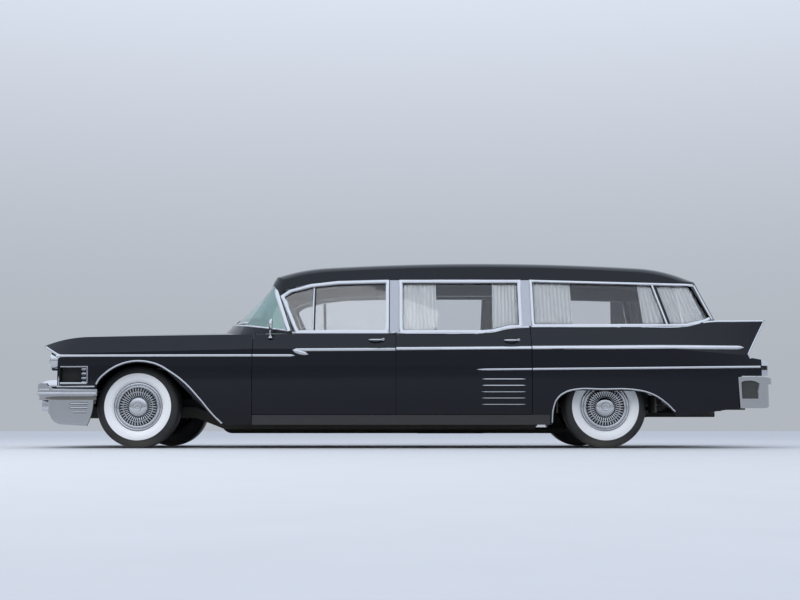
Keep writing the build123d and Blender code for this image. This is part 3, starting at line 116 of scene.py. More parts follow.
def mix_color(tree, factor, first, second):
    """Two colours, or a socket and a colour, mixed by a factor."""
    node = add(tree, "ShaderNodeMix", data_type="RGBA")
    for index, value in ((0, factor), (6, first), (7, second)):
        feed(tree, node.inputs[index], value)
    return node.outputs[2]


def bumped(tree, shader, height, strength):
    """Turns a height into small bumps on the surface."""
    bump = add(tree, "ShaderNodeBump", Strength=strength, Distance=BUMP_HEIGHT)
    feed(tree, bump.inputs["Height"], height)
    feed(tree, shader.inputs["Normal"], bump.outputs["Normal"])


def object_axes(tree):
    """The place on the piece, whole and as its X, Y and Z."""
    place = tree.nodes.new("ShaderNodeTexCoord").outputs["Object"]
    split = tree.nodes.new("ShaderNodeSeparateXYZ")
    feed(tree, split.inputs[0], place)
    return place, split.outputs


def finish_tree(name):
    """A new material with its tree and its Principled shader."""
    material = bpy.data.materials.new(name)
    material.use_nodes = True
    tree = material.node_tree
    return material, tree, tree.nodes["Principled BSDF"]


# %% [markdown]
# Fine grain and road dust are on nearly every surface of a real car. Each is a node group, built once and
# then placed in every finish with values of its own.

# %% Node groups
def new_group(name, inputs, output):
    """A shader node group that turns named numbers into one number."""
    group = bpy.data.node_groups.new(name, "ShaderNodeTree")
    for label, value in inputs.items():
        socket = group.interface.new_socket(label, in_out="INPUT", socket_type="NodeSocketFloat")
        socket.default_value = value
    group.interface.new_socket(output, in_out="OUTPUT", socket_type="NodeSocketFloat")
    return group, group.nodes.new("NodeGroupInput"), group.nodes.new("NodeGroupOutput")


def grain_group():
    """Brushed or moulded grain: noise that is stretched along one axis."""
    group, given, result = new_group("fine_grain", {"Scale": 60.0, "Along X": 1.0, "Along Z": 1.0}, "Grain")
    place = group.nodes.new("ShaderNodeTexCoord")
    stretch = add(group, "ShaderNodeCombineXYZ", Y=1.0)
    scaled = add(group, "ShaderNodeVectorMath", operation="MULTIPLY")
    noise = add(group, "ShaderNodeTexNoise", Detail=4.0, Roughness=0.6)
    feed(group, stretch.inputs["X"], given.outputs["Along X"])
    feed(group, stretch.inputs["Z"], given.outputs["Along Z"])
    feed(group, scaled.inputs[0], place.outputs["Object"])
    feed(group, scaled.inputs[1], stretch.outputs[0])
    feed(group, noise.inputs["Vector"], scaled.outputs[0])
    feed(group, noise.inputs["Scale"], given.outputs["Scale"])
    feed(group, result.inputs["Grain"], noise.outputs[0])
    return group


def dust_group():
    """Road dust: more of it low down on the car, broken up by noise."""
    group, given, result = new_group("road_dust", {"Top": 0.5, "Amount": 0.5}, "Dust")
    place, axes = object_axes(group)
    low = between(group, axes["Z"], 1.0, 0.0, end=given.outputs["Top"], soft=True)
    cloud = add(group, "ShaderNodeTexNoise", Scale=5.0, Detail=6.0, Roughness=0.65)
    feed(group, cloud.inputs["Vector"], place)
    patches = compute(group, "MULTIPLY", low, cloud.outputs[0])
    feed(group, result.inputs["Dust"], compute(group, "MULTIPLY", patches, given.outputs["Amount"]))
    return group


FINE_GRAIN = grain_group()
ROAD_DUST = dust_group()
DUST_COLOR = (0.22, 0.19, 0.15, 1.0)


def place_group(tree, group, **values):
    """The result of a node group for some values."""
    node = add(tree, "ShaderNodeGroup", node_tree=group)
    for label, value in values.items():
        node.inputs[label.replace("_", " ")].default_value = value
    return node.outputs[0]


def grain_of(tree, scale, stretch=(1.0, 1.0)):
    """Grain of a scale, stretched along X and Z."""
    return place_group(tree, FINE_GRAIN, Scale=scale, Along_X=stretch[0], Along_Z=stretch[1])


# %% [markdown]
# ## Finishes
#
# The body is deep black gloss paint under a clear coat. Its faint ripple comes from the grain in its colour
# and roughness. Trim is bright plating, the window posts are satin metal and the sills are brushed steel.

# %% Surfaces
DUST_ROUGHNESS = 0.8
COAT_ROUGHNESS = 0.03
COAT_IOR = 1.35


def surface(name, color, second, roughness, metallic=0.0, spread=0.03, scale=60.0, stretch=(1.0, 1.0),
            bump=0.0, dust=0.0, dust_top=0.5, coat=0.0, specular=0.5):
    """A finish with grain between two colours and in its roughness, and dust low down."""
    material, tree, shader = finish_tree(name)
    grain = grain_of(tree, scale, stretch)
    dirt = place_group(tree, ROAD_DUST, Top=dust_top, Amount=dust)
    grained = mix_color(tree, grain, (*color, 1.0), (*second, 1.0))
    rough = between(tree, grain, roughness - spread, roughness + spread)
    settings = {"Base Color": mix_color(tree, dirt, grained, DUST_COLOR),
                "Roughness": compute(tree, "MULTIPLY_ADD", dirt, DUST_ROUGHNESS, rough, use_clamp=True),
                "Metallic": metallic, "Coat Weight": coat, "Coat Roughness": COAT_ROUGHNESS,
                "Coat IOR": COAT_IOR, "Specular IOR Level": specular}
    for label, value in settings.items():
        feed(tree, shader.inputs[label], value)
    if bump:
        bumped(tree, shader, grain, bump)
    return material


# %% Materials
PAINT = surface("black_gloss_paint", (0.002, 0.003, 0.0055), (0.0035, 0.0048, 0.0085), 0.4, spread=0.05,
                scale=6.0, dust=0.03, dust_top=0.45, coat=1.0, specular=0.0)
CHROME = surface("bright_plating", (0.62, 0.63, 0.65), (0.55, 0.56, 0.58), 0.09, metallic=1.0, scale=24.0,
                 dust=0.10, dust_top=0.5)
SATIN = surface("satin_post_metal", (0.46, 0.47, 0.49), (0.38, 0.39, 0.42), 0.38, metallic=1.0, spread=0.05,
                scale=30.0, stretch=(8.0, 0.3), bump=0.04)
BRUSHED = surface("brushed_sill_steel", (0.085, 0.085, 0.088), (0.055, 0.055, 0.058), 0.36, metallic=1.0,
                  spread=0.07, scale=40.0, stretch=(0.15, 6.0), bump=0.05, dust=0.6, dust_top=0.32)
CHASSIS = surface("chassis_black", (0.012, 0.012, 0.012), (0.03, 0.028, 0.025), 0.6, spread=0.12, scale=14.0,
                  bump=0.3, dust=0.5)
ENGINE_PAINT = surface("engine_paint", (0.02, 0.03, 0.05), (0.03, 0.03, 0.035), 0.45, spread=0.1, scale=9.0,
                       bump=0.2, dust=0.3, dust_top=0.8)
DASH = surface("dash_enamel", (0.012, 0.012, 0.014), (0.02, 0.02, 0.024), 0.3, spread=0.06, scale=160.0,
               bump=0.1)
DECK = surface("varnished_deck", (0.10, 0.035, 0.012), (0.18, 0.075, 0.03), 0.28, spread=0.06, scale=18.0,
               stretch=(0.12, 1.0), bump=0.05, coat=0.5)
LEATHER = surface("seat_leather", (0.05, 0.05, 0.054), (0.075, 0.075, 0.08), 0.42, spread=0.08, scale=220.0,
                  bump=0.25)
CURTAIN = surface("curtain_cloth", (0.62, 0.63, 0.63), (0.70, 0.705, 0.70), 0.9, spread=0.05, scale=420.0,
                  stretch=(1.0, 0.5), bump=0.25)
RUBBER = surface("seal_rubber", (0.012, 0.012, 0.012), (0.02, 0.02, 0.02), 0.6, spread=0.08, scale=120.0,
                 bump=0.2)
# Darker plating that is painted shade under the bumper blade, with road dust on it.
PAINTED_SHADE_PLATING = surface("painted_shade_plating", (0.22, 0.21, 0.19), (0.16, 0.155, 0.14), 0.3, metallic=1.0, spread=0.06,
                    scale=20.0, dust=0.5, dust_top=0.6)
# Matt black that is painted shade: it fills the wheel covers' channels, the fender recesses, the bumper slots
# and a band on the tail lamp pods, where there would be shade.
PAINTED_SHADE_BLACK = surface("painted_shade_black", (0.004, 0.004, 0.004), (0.007, 0.007, 0.007), 0.7, spread=0.05, scale=80.0)
STONE = surface("pod_recess_enamel", (0.030, 0.032, 0.029), (0.040, 0.042, 0.038), 0.5, spread=0.06,
                scale=30.0, dust=0.3, dust_top=0.6)
LINING = surface("roof_lining_cloth", (0.035, 0.035, 0.037), (0.05, 0.05, 0.052), 0.95, spread=0.04,
                 scale=300.0, bump=0.3)
PLATE = surface("blank_plate", (0.55, 0.56, 0.52), (0.60, 0.61, 0.58), 0.4, spread=0.05, scale=50.0)
print("finishes made:", len(bpy.data.materials))

# %% [markdown]
# Tyre rubber has a wide white ring on its outer wall. The ring is moulded in on the real tyre, so here it
# is part of the finish: white between two distances from the axle.

# %% Tyre rubber
WHITEWALL_INNER = 0.206
INNER_BLUR = 0.0006
WHITEWALL_OUTER = 0.283
OUTER_BLUR = 0.0008
OUTER_WALL_Y = 0.80
WALL_BLUR = 0.002
WHEEL_HEIGHT = 0.350
AXLES = {"front": -2.222, "rear": 1.740}


def tyre_rubber(name, axle_x):
    """Black rubber with a white ring that is measured from the axle's line."""
    material, tree, shader = finish_tree(name)
    axes = object_axes(tree)[1]
    flat = tree.nodes.new("ShaderNodeCombineXYZ")
    for axis, centre in (("X", axle_x), ("Z", WHEEL_HEIGHT)):
        feed(tree, flat.inputs[axis], compute(tree, "SUBTRACT", axes[axis], centre))
    length = add(tree, "ShaderNodeVectorMath", operation="LENGTH")
    feed(tree, length.inputs[0], flat.outputs[0])
    radius = length.outputs["Value"]
    inside = between(tree, radius, 0.0, 1.0, WHITEWALL_INNER - INNER_BLUR, WHITEWALL_INNER + INNER_BLUR)
    outside = between(tree, radius, 0.0, 1.0, WHITEWALL_OUTER + OUTER_BLUR, WHITEWALL_OUTER - OUTER_BLUR)
    outward = compute(tree, "ABSOLUTE", axes["Y"])
    wall = between(tree, outward, 0.0, 1.0, OUTER_WALL_Y, OUTER_WALL_Y + WALL_BLUR)
    white = compute(tree, "MULTIPLY", compute(tree, "MULTIPLY", inside, outside), wall)
    grain = grain_of(tree, 90.0)
    dirt = place_group(tree, ROAD_DUST, Top=0.12, Amount=0.5)
    black = mix_color(tree, grain, (0.012, 0.012, 0.013, 1.0), (0.022, 0.022, 0.022, 1.0))
    pale = mix_color(tree, grain, (0.70, 0.71, 0.72, 1.0), (0.78, 0.785, 0.79, 1.0))
    banded = mix_color(tree, white, black, pale)
    feed(tree, shader.inputs["Base Color"], mix_color(tree, dirt, banded, DUST_COLOR))
    feed(tree, shader.inputs["Roughness"], between(tree, grain, 0.42, 0.6))
    bumped(tree, shader, grain, 0.15)
    return material


TYRES = {end: tyre_rubber(f"tyre_rubber_{end}", x) for end, x in AXLES.items()}
print("white ring between", WHITEWALL_INNER, "m and", WHITEWALL_OUTER, "m from the axle")

# %% [markdown]
# ## Glass
#
# The windows are clear sheets with a light tint. The windshield is greener than the side glass.
# Lamp lenses are clear too, and the tail lamps are red.

# %% Glass materials
GLASS_IOR = 1.45
WINDSHIELD_END_X = -0.93
FILM_SHADE = 0.96


def glass(name, color, roughness=0.02, front=None):
    """Clear glass with a faint film. A front colour is for the panes that lie ahead of the side windows."""
    material, tree, shader = finish_tree(name)
    shader.inputs["Transmission Weight"].default_value = 1.0
    shader.inputs["IOR"].default_value = GLASS_IOR
    film = grain_of(tree, 7.0)
    tint = mix_color(tree, film, (*color, 1.0), (*[part * FILM_SHADE for part in color], 1.0))
    if front:
        ahead = compute(tree, "LESS_THAN", object_axes(tree)[1]["X"], WINDSHIELD_END_X)
        tint = mix_color(tree, ahead, tint, (*front, 1.0))
    feed(tree, shader.inputs["Base Color"], tint)
    feed(tree, shader.inputs["Roughness"], between(tree, film, roughness * 0.5, roughness * 1.5))
    return material


SIDE_GLASS = glass("side_glass", (0.945, 0.952, 0.96))
FIXED_GLASS = glass("fixed_glass", (0.945, 0.952, 0.96), front=(0.58, 0.73, 0.70))
LENS_GLASS = glass("lamp_lens", (0.96, 0.97, 0.97), 0.04)
TAIL_RED = surface("tail_lamp_red", (0.28, 0.004, 0.003), (0.40, 0.008, 0.006), 0.12, scale=40.0, coat=0.8)
print("glass made")

# %% [markdown]
# ## Finishes on the carried-over parts
#
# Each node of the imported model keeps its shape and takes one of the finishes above.

# %% Assign finishes
NODE_FINISHES = {
    PAINT: ["hood", "cowl", "roof", "loading_door", "front_fender_*", "quarter_*", "front_door_*",
            "rear_door_*"],
    CHROME: ["front_bumper", "rear_bumper", "grille", "mirror_*", "wheel_front_*", "wheel_rear_*",
             "headlamps", "tail_lamps"],
    BRUSHED: ["rockers"],
    SIDE_GLASS: ["front_door_glass_*", "rear_door_glass_*", "loading_door_glass"],
    FIXED_GLASS: ["fixed_glass"],
    CHASSIS: ["frame", "frame_members", "front_suspension", "rear_axle", "floor", "exhaust", "fuel_tank",
              "knuckle_*"],
    ENGINE_PAINT: ["engine"],
    DASH: ["dashboard", "steering_wheel"],
    DECK: ["casket_deck"],
    LEATHER: ["front_seat"],
    TYRES["front"]: ["tyre_front_*"],
    TYRES["rear"]: ["tyre_rear_*"],
    CURTAIN: ["quarter_curtains", "tail_curtains", "rear_door_curtains_*"],
}
for finish, patterns in NODE_FINISHES.items():
    for pattern in patterns:
        for name in sorted({pattern.replace("*", side) for side in SIDES}):
            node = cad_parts[name]
            node.data.materials.clear()
            node.data.materials.append(finish)
print("nodes without a finish:", [name for name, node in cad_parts.items() if not node.data.materials])

# %% [markdown]
# ## Helpers for shapes
#
# A piece starts as a bmesh: a flat grid, a box or a profile that is spun round an axis. It is then bent into
# place, often by casting rays onto the panels, so that trim follows the bodywork closely.

# %% Pieces
FORWARD = (-1.0, 0.0, 0.0)
BACKWARD = (1.0, 0.0, 0.0)
UP = (0.0, 0.0, 1.0)
DOWN = (0.0, 0.0, -1.0)
BAR_ROUNDS = 3


def link_piece(name, mesh, finish, body, angle):
    """Puts a mesh in the scene as a piece that rides on a body."""
    piece = bpy.data.objects.new(name, mesh)
    bpy.context.scene.collection.objects.link(piece)
    mesh.materials.clear()
    mesh.materials.append(finish)
    mesh.shade_smooth()
    mesh.set_sharp_from_angle(angle=math.radians(angle))
    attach(piece, body)
    return piece


def make_piece(name, bm, finish=CHROME, body="body", slot="bright_trim", angle=40.0):
    """Turns a bmesh into a piece of the car, with its faces pointing outwards."""
    bmesh.ops.recalc_face_normals(bm, faces=bm.faces)
    mesh = bpy.data.meshes.new(name)
    bm.to_mesh(mesh)
    bm.free()
    return link_piece(name, mesh, finish, body, angle)


def flat_grid(columns, rows):
    """A bmesh with a flat square grid from -1 to 1."""
    bm = bmesh.new()
    bmesh.ops.create_grid(bm, x_segments=columns, y_segments=rows, size=1.0)
    return bm


def thicken(bm, shift):
    """Copies all faces by a shift and closes the rim between the two layers."""
    back = bmesh.ops.extrude_face_region(bm, geom=bm.faces[:])
    moved = [v for v in back["geom"] if isinstance(v, bmesh.types.BMVert)]
    bmesh.ops.translate(bm, verts=moved, vec=shift)


def add_box(bm, middle, size):
    """Adds a box to a bmesh."""
    corners = bmesh.ops.create_cube(bm, size=1.0)["verts"]
    bmesh.ops.scale(bm, vec=size, verts=corners)
    bmesh.ops.translate(bm, vec=middle, verts=corners)


def round_edges(bm, edges, reach, segments):
    """Rounds off some edges."""
    bmesh.ops.bevel(bm, geom=edges, offset=reach, segments=segments, profile=0.5, affect="EDGES", material=-1)


def lathe(bm, profile, centre, axis, steps=96, closed=False, radial=DOWN):
    """Spins (radius, along) points once round an axis."""
    centre, axis, radial = Vector(centre), Vector(axis), Vector(radial)
    verts = [bm.verts.new(centre + radial * r + axis * a) for r, a in profile]
    edges = [bm.edges.new(pair) for pair in zip(verts, verts[1:])]
    if closed:
        edges.append(bm.edges.new((verts[-1], verts[0])))
    bmesh.ops.spin(bm, geom=verts + edges, cent=centre, axis=axis, angle=2 * math.pi, steps=steps,
                   use_merge=True)
    bmesh.ops.remove_doubles(bm, verts=bm.verts, dist=0.00001)


def bars(name, lines, radius, finish=CHROME, body="body", slot="bright_trim"):
    """Round bars led through points, with closed ends, as one piece."""
    data = bpy.data.curves.new(name, "CURVE")
    data.dimensions = "3D"
    data.bevel_depth = radius
    data.bevel_resolution = BAR_ROUNDS
    data.use_fill_caps = True
    for line in lines:
        spline = data.splines.new("POLY")
        spline.points.add(len(line) - 1)
        for knot, point in zip(spline.points, line):
            knot.co = (*point, 1.0)
    helper = bpy.data.objects.new(name, data)
    mesh = bpy.data.meshes.new_from_object(helper)
    bpy.data.objects.remove(helper)
    bpy.data.curves.remove(data)
    return link_piece(name, mesh, finish, body, 60.0)


# %% Rays onto the panels
BESIDE = 1.4
AHEAD = -3.6
BEHIND = 3.4
SKINS = {}


def skin_of(*names):
    """Trees for casting rays onto the named panels, each made once."""
    for name in names:
        if name not in SKINS:
            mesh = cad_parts[name].data
            places = [vert.co for vert in mesh.vertices]
            SKINS[name] = BVHTree.FromPolygons(places, [face.vertices for face in mesh.polygons])
    return [SKINS[name] for name in names]


def cast(skins, start, direction):
    """The first place where a ray meets one of some panels, or None."""
    nearest = None
    for tree in skins:
        place, _, _, distance = tree.ray_cast(Vector(start), Vector(direction))
        if place is not None and (nearest is None or distance < nearest[1]):
            nearest = (place, distance)
    return nearest and nearest[0]


def skin_y(skins, x, z, sign):
    """How far out a panel lies at a place in side view."""
    place = cast(skins, (x, sign * BESIDE, z), (0.0, -sign, 0.0))
    return place and place.y


def trace(skins, starts, direction, out=0.0):
    """The places where rays from some starts meet the panels, moved back along the ray by out."""
    places = [cast(skins, start, direction) for start in starts]
    return [place - Vector(direction) * out for place in places if place is not None]


# %% Lines in side view
def even_line(points, step=0.03, closed=False):
    """The same line with points at even steps and kept corners."""
    ends = list(points) + ([points[0]] if closed else [])
    line = [Vector(ends[0])]
    for start, end in zip(ends, ends[1:]):
        run = Vector(end) - Vector(start)
        count = max(1, round(run.length / step))
        line += [Vector(start) + run * (i / count) for i in range(1, count + 1)]
    return line[:-1] if closed else line


def smooth_line(points):
    """Even points along a soft curve through the given ones."""
    spline_data = bpy.data.curves.new("line", "CURVE")
    spline = spline_data.splines.new("BEZIER")
    spline.bezier_points.add(len(points) - 1)
    for knot, point in zip(spline.bezier_points, points):
        knot.co = (point[0], 0.0, point[1])
        knot.handle_left_type = knot.handle_right_type = "AUTO"
    spline_data.resolution_u = 8
    helper = bpy.data.objects.new("line", spline_data)
    mesh = bpy.data.meshes.new_from_object(helper)
    dense = [(vert.co.x, vert.co.z) for vert in mesh.vertices]
    bpy.data.objects.remove(helper)
    bpy.data.meshes.remove(mesh)
    bpy.data.curves.remove(spline_data)
    return even_line(dense)


def normals_of(line, closed):
    """Unit vectors square to the line, lengthened at corners so that the strip keeps its width."""
    count = len(line)
    result = []
    for i, point in enumerate(line):
        before = line[i - 1] if i or closed else point
        after = line[(i + 1) % count] if i + 1 < count or closed else point
        run_in = (point - before).normalized() if (point - before).length else (after - point).normalized()
        run_out = (after - point).normalized() if (after - point).length else run_in
        middle = (run_in + run_out).normalized()
        square = Vector((-middle.y, middle.x))
        spread = max(0.4, square.dot(Vector((-run_in.y, run_in.x))))
        result.append(square / spread)
    return result


def softened(values, reach):
    """A row of numbers averaged with its neighbours, so that a long moulding has no ripple."""
    result = []
    for i in range(len(values)):
        near = min(reach, i, len(values) - 1 - i)
        part = values[i - near:i + near + 1]
        result.append(sum(part) / len(part))
    return result


def end_sizes(line, taper):
    """How wide a strip is along its line, from 0 at a tapered end to 1."""
    lengths = [0.0]
    for start, end in zip(line, line[1:]):
        lengths.append(lengths[-1] + (end - start).length)
    sizes = []
    for length in lengths:
        size = 1.0
        if taper[0]:
            size *= min(1.0, length / taper[0])
        if taper[1]:
            size *= min(1.0, (lengths[-1] - length) / taper[1])
        sizes.append(math.sqrt(max(0.0, size * (2.0 - size))) + 0.01)
    return sizes


# %% [markdown]
# Most trim on the car is a strip. It is pressed from bright steel and clipped on, one length to each panel.
# Here a strip starts as a flat grid and is led along a line in side view. Each of its points is laid on the
# panel by a ray cast across the car, and raised by a rounded cross-section. A second layer closes its back.

# %% Strips
STRIP_COLUMNS = 6
STRIP_DEPTH = 0.004


def strip(name, line, width, proud, skins, sign, body, closed=False, taper=(0.0, 0.0), shift=0.0, soft=0,
          power=2.5, finish=CHROME):
    """A moulding laid along a line on a panel, with a rounded face and a closed back."""
    squares = normals_of(line, closed)
    sizes = end_sizes(line, taper)
    total = len(line)
    columns = []
    for j in range(STRIP_COLUMNS + 1):
        lateral = j / STRIP_COLUMNS * 2.0 - 1.0
        column = []
        for point, square, size in zip(line, squares, sizes):
            place = point + square * (lateral * width / 2 * size + shift)
            raised = proud * (1.0 - abs(lateral) ** power) * (0.35 + 0.65 * min(1.0, size))
            column.append([place.x, skin_y(skins, place.x, place.y, sign), place.y, raised])
        columns.append(column)
    known = [point for column in columns for point in column if point[1] is not None]
    for column in columns:
        for point in column:
            if point[1] is None:
                nearest = min(known, key=lambda other: abs(other[0] - point[0]) + abs(other[2] - point[2]))
                point[1] = nearest[1]
        levels = softened([point[1] for point in column], soft)
        for point, level in zip(column, levels):
            point[1] = level
    bm = flat_grid(total - 1, STRIP_COLUMNS)
    rows = sorted(bm.verts, key=lambda vert: (round(vert.co.x, 6), vert.co.y))
    for index, vert in enumerate(rows):
        i, j = divmod(index, STRIP_COLUMNS + 1)
        x, y, z, raised = columns[j][i]
        vert.co = (x, y + sign * raised, z)
    if closed:
        first = rows[:STRIP_COLUMNS + 1]
        last = rows[(total - 1) * (STRIP_COLUMNS + 1):]
        rim = [bm.edges.get(pair) for row in (first, last) for pair in zip(row, row[1:])]
        bmesh.ops.bridge_loops(bm, edges=rim)
    thicken(bm, (0.0, -sign * STRIP_DEPTH, 0.0))
    make_piece(name, bm, finish, body)


def lay_strips(rows, **shared):
    """Lays every strip of a table on both sides of the car.

    A star in a name stands for the side. Points are the corners of a line, or a line that is made already.
    A strip on a door rides on the door.
    """
    for name, panels, points, width, proud, settings in rows:
        line = points if isinstance(points[0], Vector) else even_line(points)
        for side, sign in SIDES.items():
            panel = panels.replace("*", side)
            full_name = name.replace("*", side) if "*" in name else f"{name}_{side}"
            body = panel if "_door_" in panel else "body"
            strip(full_name, line, width, proud, skin_of(*panel.split()), sign, body, **settings, **shared)
    print("strips laid:", 2 * len(rows))


# %% [markdown]
# ## Side mouldings
#
# A thin spear runs from the headlamps to the front door. Higher up, a broader one starts with an
# arrowhead and runs over the doors and the rear quarter. A lower strip ends at the tail lamp pod, and five
# short bars stand above one another on the rear door.

# %% Side spears
# name, panels, points, width, height of its middle, settings
SPEARS = (
    ("fender_spear", "front_fender_*", [(-2.876, 0.776), (-1.247, 0.777)], 0.024, 0.009, {}),
    ("door_low_spear", "front_door_*", [(-1.239, 0.777), (-0.88, 0.777)], 0.024, 0.009,
     {"taper": (0.0, 0.04)}),
    ("front_door_spear", "front_door_*", [(-0.900, 0.824), (-0.039, 0.829)], 0.030, 0.011,
     {"taper": (0.02, 0.0)}),
    ("arrowhead", "front_door_*", [(-0.905, 0.822), (-0.83, 0.800), (-0.768, 0.786)], 0.044, 0.016,
     {"taper": (0.05, 0.06)}),
    ("rear_door_spear", "rear_door_*", [(-0.030, 0.834), (1.105, 0.843)], 0.032, 0.011, {}),
    ("quarter_spear", "quarter_*", [(1.113, 0.844), (2.2, 0.852), (2.905, 0.847)], 0.036, 0.012,
     {"taper": (0.0, 0.05)}),
    ("rear_door_low_spear", "rear_door_*", [(0.640, 0.658), (1.105, 0.662)], 0.020, 0.008,
     {"taper": (0.12, 0.0)}),
    ("quarter_low_spear", "quarter_*", [(1.113, 0.662), (2.0, 0.670), (3.030, 0.682)], 0.022, 0.008, {}),
    ("nose_strip_upright", "front_fender_*", [(-2.872, 0.524), (-2.872, 0.606)], 0.016, 0.008,
     {"taper": (0.0, 0.02)}),
    ("nose_strip_low", "front_fender_*", [(-2.885, 0.517), (-2.565, 0.517)], 0.016, 0.008, {}),
)
lay_strips(SPEARS, soft=9)
DOOR_BARS = {"taper": (0.02, 0.02)}
BAR_HEIGHTS = (0.579, 0.526, 0.473, 0.421, 0.368)
lay_strips([(f"door_bar_*_{number}", "rear_door_*", [(0.681, height), (1.057, height)], 0.014, 0.010,
             DOOR_BARS) for number, height in enumerate(BAR_HEIGHTS)])

# %% [markdown]
# ## Wheel arch lips
#
# Both arches have a narrow bright lip. The front one sweeps back in a long slope down to the sill.

# %% Arch lips
FRONT_ARCH = [(-2.549, 0.535), (-2.530, 0.570), (-2.480, 0.621), (-2.420, 0.665), (-2.350, 0.700),
              (-2.270, 0.722), (-2.190, 0.728), (-2.110, 0.719), (-2.030, 0.695), (-1.950, 0.650),
              (-1.816, 0.552), (-1.691, 0.420), (-1.567, 0.272), (-1.497, 0.205)]
REAR_ARCH = [(1.280, 0.215), (1.290, 0.335), (1.318, 0.408), (1.380, 0.462), (1.470, 0.489), (1.690, 0.491),
             (1.983, 0.484), (2.121, 0.446), (2.219, 0.384), (2.305, 0.305)]
lay_strips((
    ("front_arch_lip", "front_fender_*", smooth_line(FRONT_ARCH), 0.018, 0.009, {}),
    ("rear_arch_lip", "quarter_*", smooth_line(REAR_ARCH), 0.016, 0.009, {}),
), shift=0.004)

# %% [markdown]
# ## Window surrounds
#
# Each side window has a bright frame, and a bright belt runs below them all. The posts between the doors are
# satin metal, flat with steep edges. Bright rails cover the front and rear roof posts, and a thin upright
# divides the panes of the rear quarter.

# %% Window frames
FRONT_WINDOW = [(-0.880, 0.985), (-1.015, 1.300), (-0.952, 1.349), (-0.768, 1.398), (-0.540, 1.425),
                (-0.109, 1.437), (-0.109, 0.985)]
REAR_WINDOW = [(0.008, 0.985), (0.008, 1.437), (1.032, 1.437), (1.032, 1.036), (0.920, 1.026), (0.800, 0.992),
               (0.690, 0.985)]
QUARTER_WINDOW = [(2.668, 1.108), (2.610, 1.083), (2.440, 1.043), (1.136, 1.039), (1.136, 1.442),
                  (2.552, 1.403)]
REAR_RAIL = [(2.562, 1.405), (2.632, 1.245), (2.697, 1.106)]
FRONT_RAIL = [(-0.950, 0.992), (-1.086, 1.380)]
DIVIDER = [(2.284, 1.046), (2.182, 1.416)]
QUARTER_BELT = [(1.12, 1.030), (2.0, 1.032), (2.43, 1.033), (2.52, 1.052), (2.585, 1.074)]
FRONT_DOOR_BELT = [(-0.915, 0.975), (-0.042, 0.975)]
REAR_DOOR_BELT = [(-0.028, 0.975), (0.67, 0.975), (0.79, 0.984), (0.91, 1.012), (1.03, 1.024), (1.10, 1.026)]
MIDDLE_POST = [(-0.048, 0.980), (-0.048, 1.448)]
REAR_POST = [(1.084, 1.036), (1.084, 1.448)]
FRAME_STEP = 0.04
POST = {"power": 6.0, "finish": SATIN}
lay_strips((
    ("front_window_frame", "front_door_*", even_line(FRONT_WINDOW, FRAME_STEP, True), 0.030, 0.008,
     {"closed": True}),
    ("rear_window_frame", "rear_door_*", even_line(REAR_WINDOW, FRAME_STEP, True), 0.030, 0.008,
     {"closed": True}),
    ("quarter_window_frame", "roof", even_line(QUARTER_WINDOW, FRAME_STEP), 0.026, 0.008, {}),
    ("middle_post", "roof", even_line(MIDDLE_POST, FRAME_STEP), 0.078, 0.004, POST),
    ("rear_post", "roof", even_line(REAR_POST, FRAME_STEP), 0.074, 0.004, POST),
    ("tail_rail", "roof", REAR_RAIL, 0.024, 0.009, {}),
    ("screen_rail", "roof", FRONT_RAIL, 0.036, 0.009, {"taper": (0.0, 0.04)}),
    ("pane_divider", "roof", DIVIDER, 0.018, 0.006, {}),
    ("quarter_belt", "roof quarter_*", smooth_line(QUARTER_BELT), 0.018, 0.010, {}),
    ("front_door_belt", "front_door_*", FRONT_DOOR_BELT, 0.020, 0.010, {}),
    ("rear_door_belt", "rear_door_*", smooth_line(REAR_DOOR_BELT), 0.020, 0.010, {}),
))

# %% [markdown]
# The front door's glass is split by an upright post, with a small vent pane ahead of it. A dark seal runs
# along the post's rear side.

# %% Vent posts
VENT_X = -0.744
SEAL_SHIFT = Vector((0.013, 0.0, 0.0))
for side, sign in SIDES.items():
    starts = [(VENT_X, sign * BESIDE, z / 100) for z in range(98, 142, 2)]
    vent = trace(skin_of(f"front_door_glass_{side}"), starts, (0.0, -sign, 0.0), 0.002)
    seal = [point + SEAL_SHIFT for point in vent]
    bars(f"vent_post_{side}", [vent], 0.008, body=f"front_door_{side}")
    bars(f"vent_seal_{side}", [seal], 0.006, RUBBER, f"front_door_{side}", "body_paint")
print("vent posts of", len(vent), "points")

# %% [markdown]
# ## Windshield surround and wipers
#
# The wrap-round glass sits in a bright frame. Its lower edge runs round the cowl to the front posts,
# and two thin wipers rest along it.

# %% Windshield trim
SCREEN = skin_of("fixed_glass", "cowl", "roof")
LOW_CORNER = [(-0.965, 0.996), (-1.10, 1.013), (-1.25, 1.034), (-1.40, 1.056), (-1.50, 1.071)]
WIPER_PIVOT_Y = 0.36
WIPER_STEP = 0.045
WIPER_CLIMB = 0.009


def on_screen(places, out=0.0):
    """Points on the windshield straight behind (y, z) places seen from the front."""
    return trace(SCREEN, [(AHEAD, y, z) for y, z in places], BACKWARD, out)


def beside_screen(sign):
    """Points round a lower corner of the windshield, from its rear end to the front."""
    return trace(SCREEN, [(x, sign * BESIDE, z) for x, z in LOW_CORNER], (0.0, -sign, 0.0))


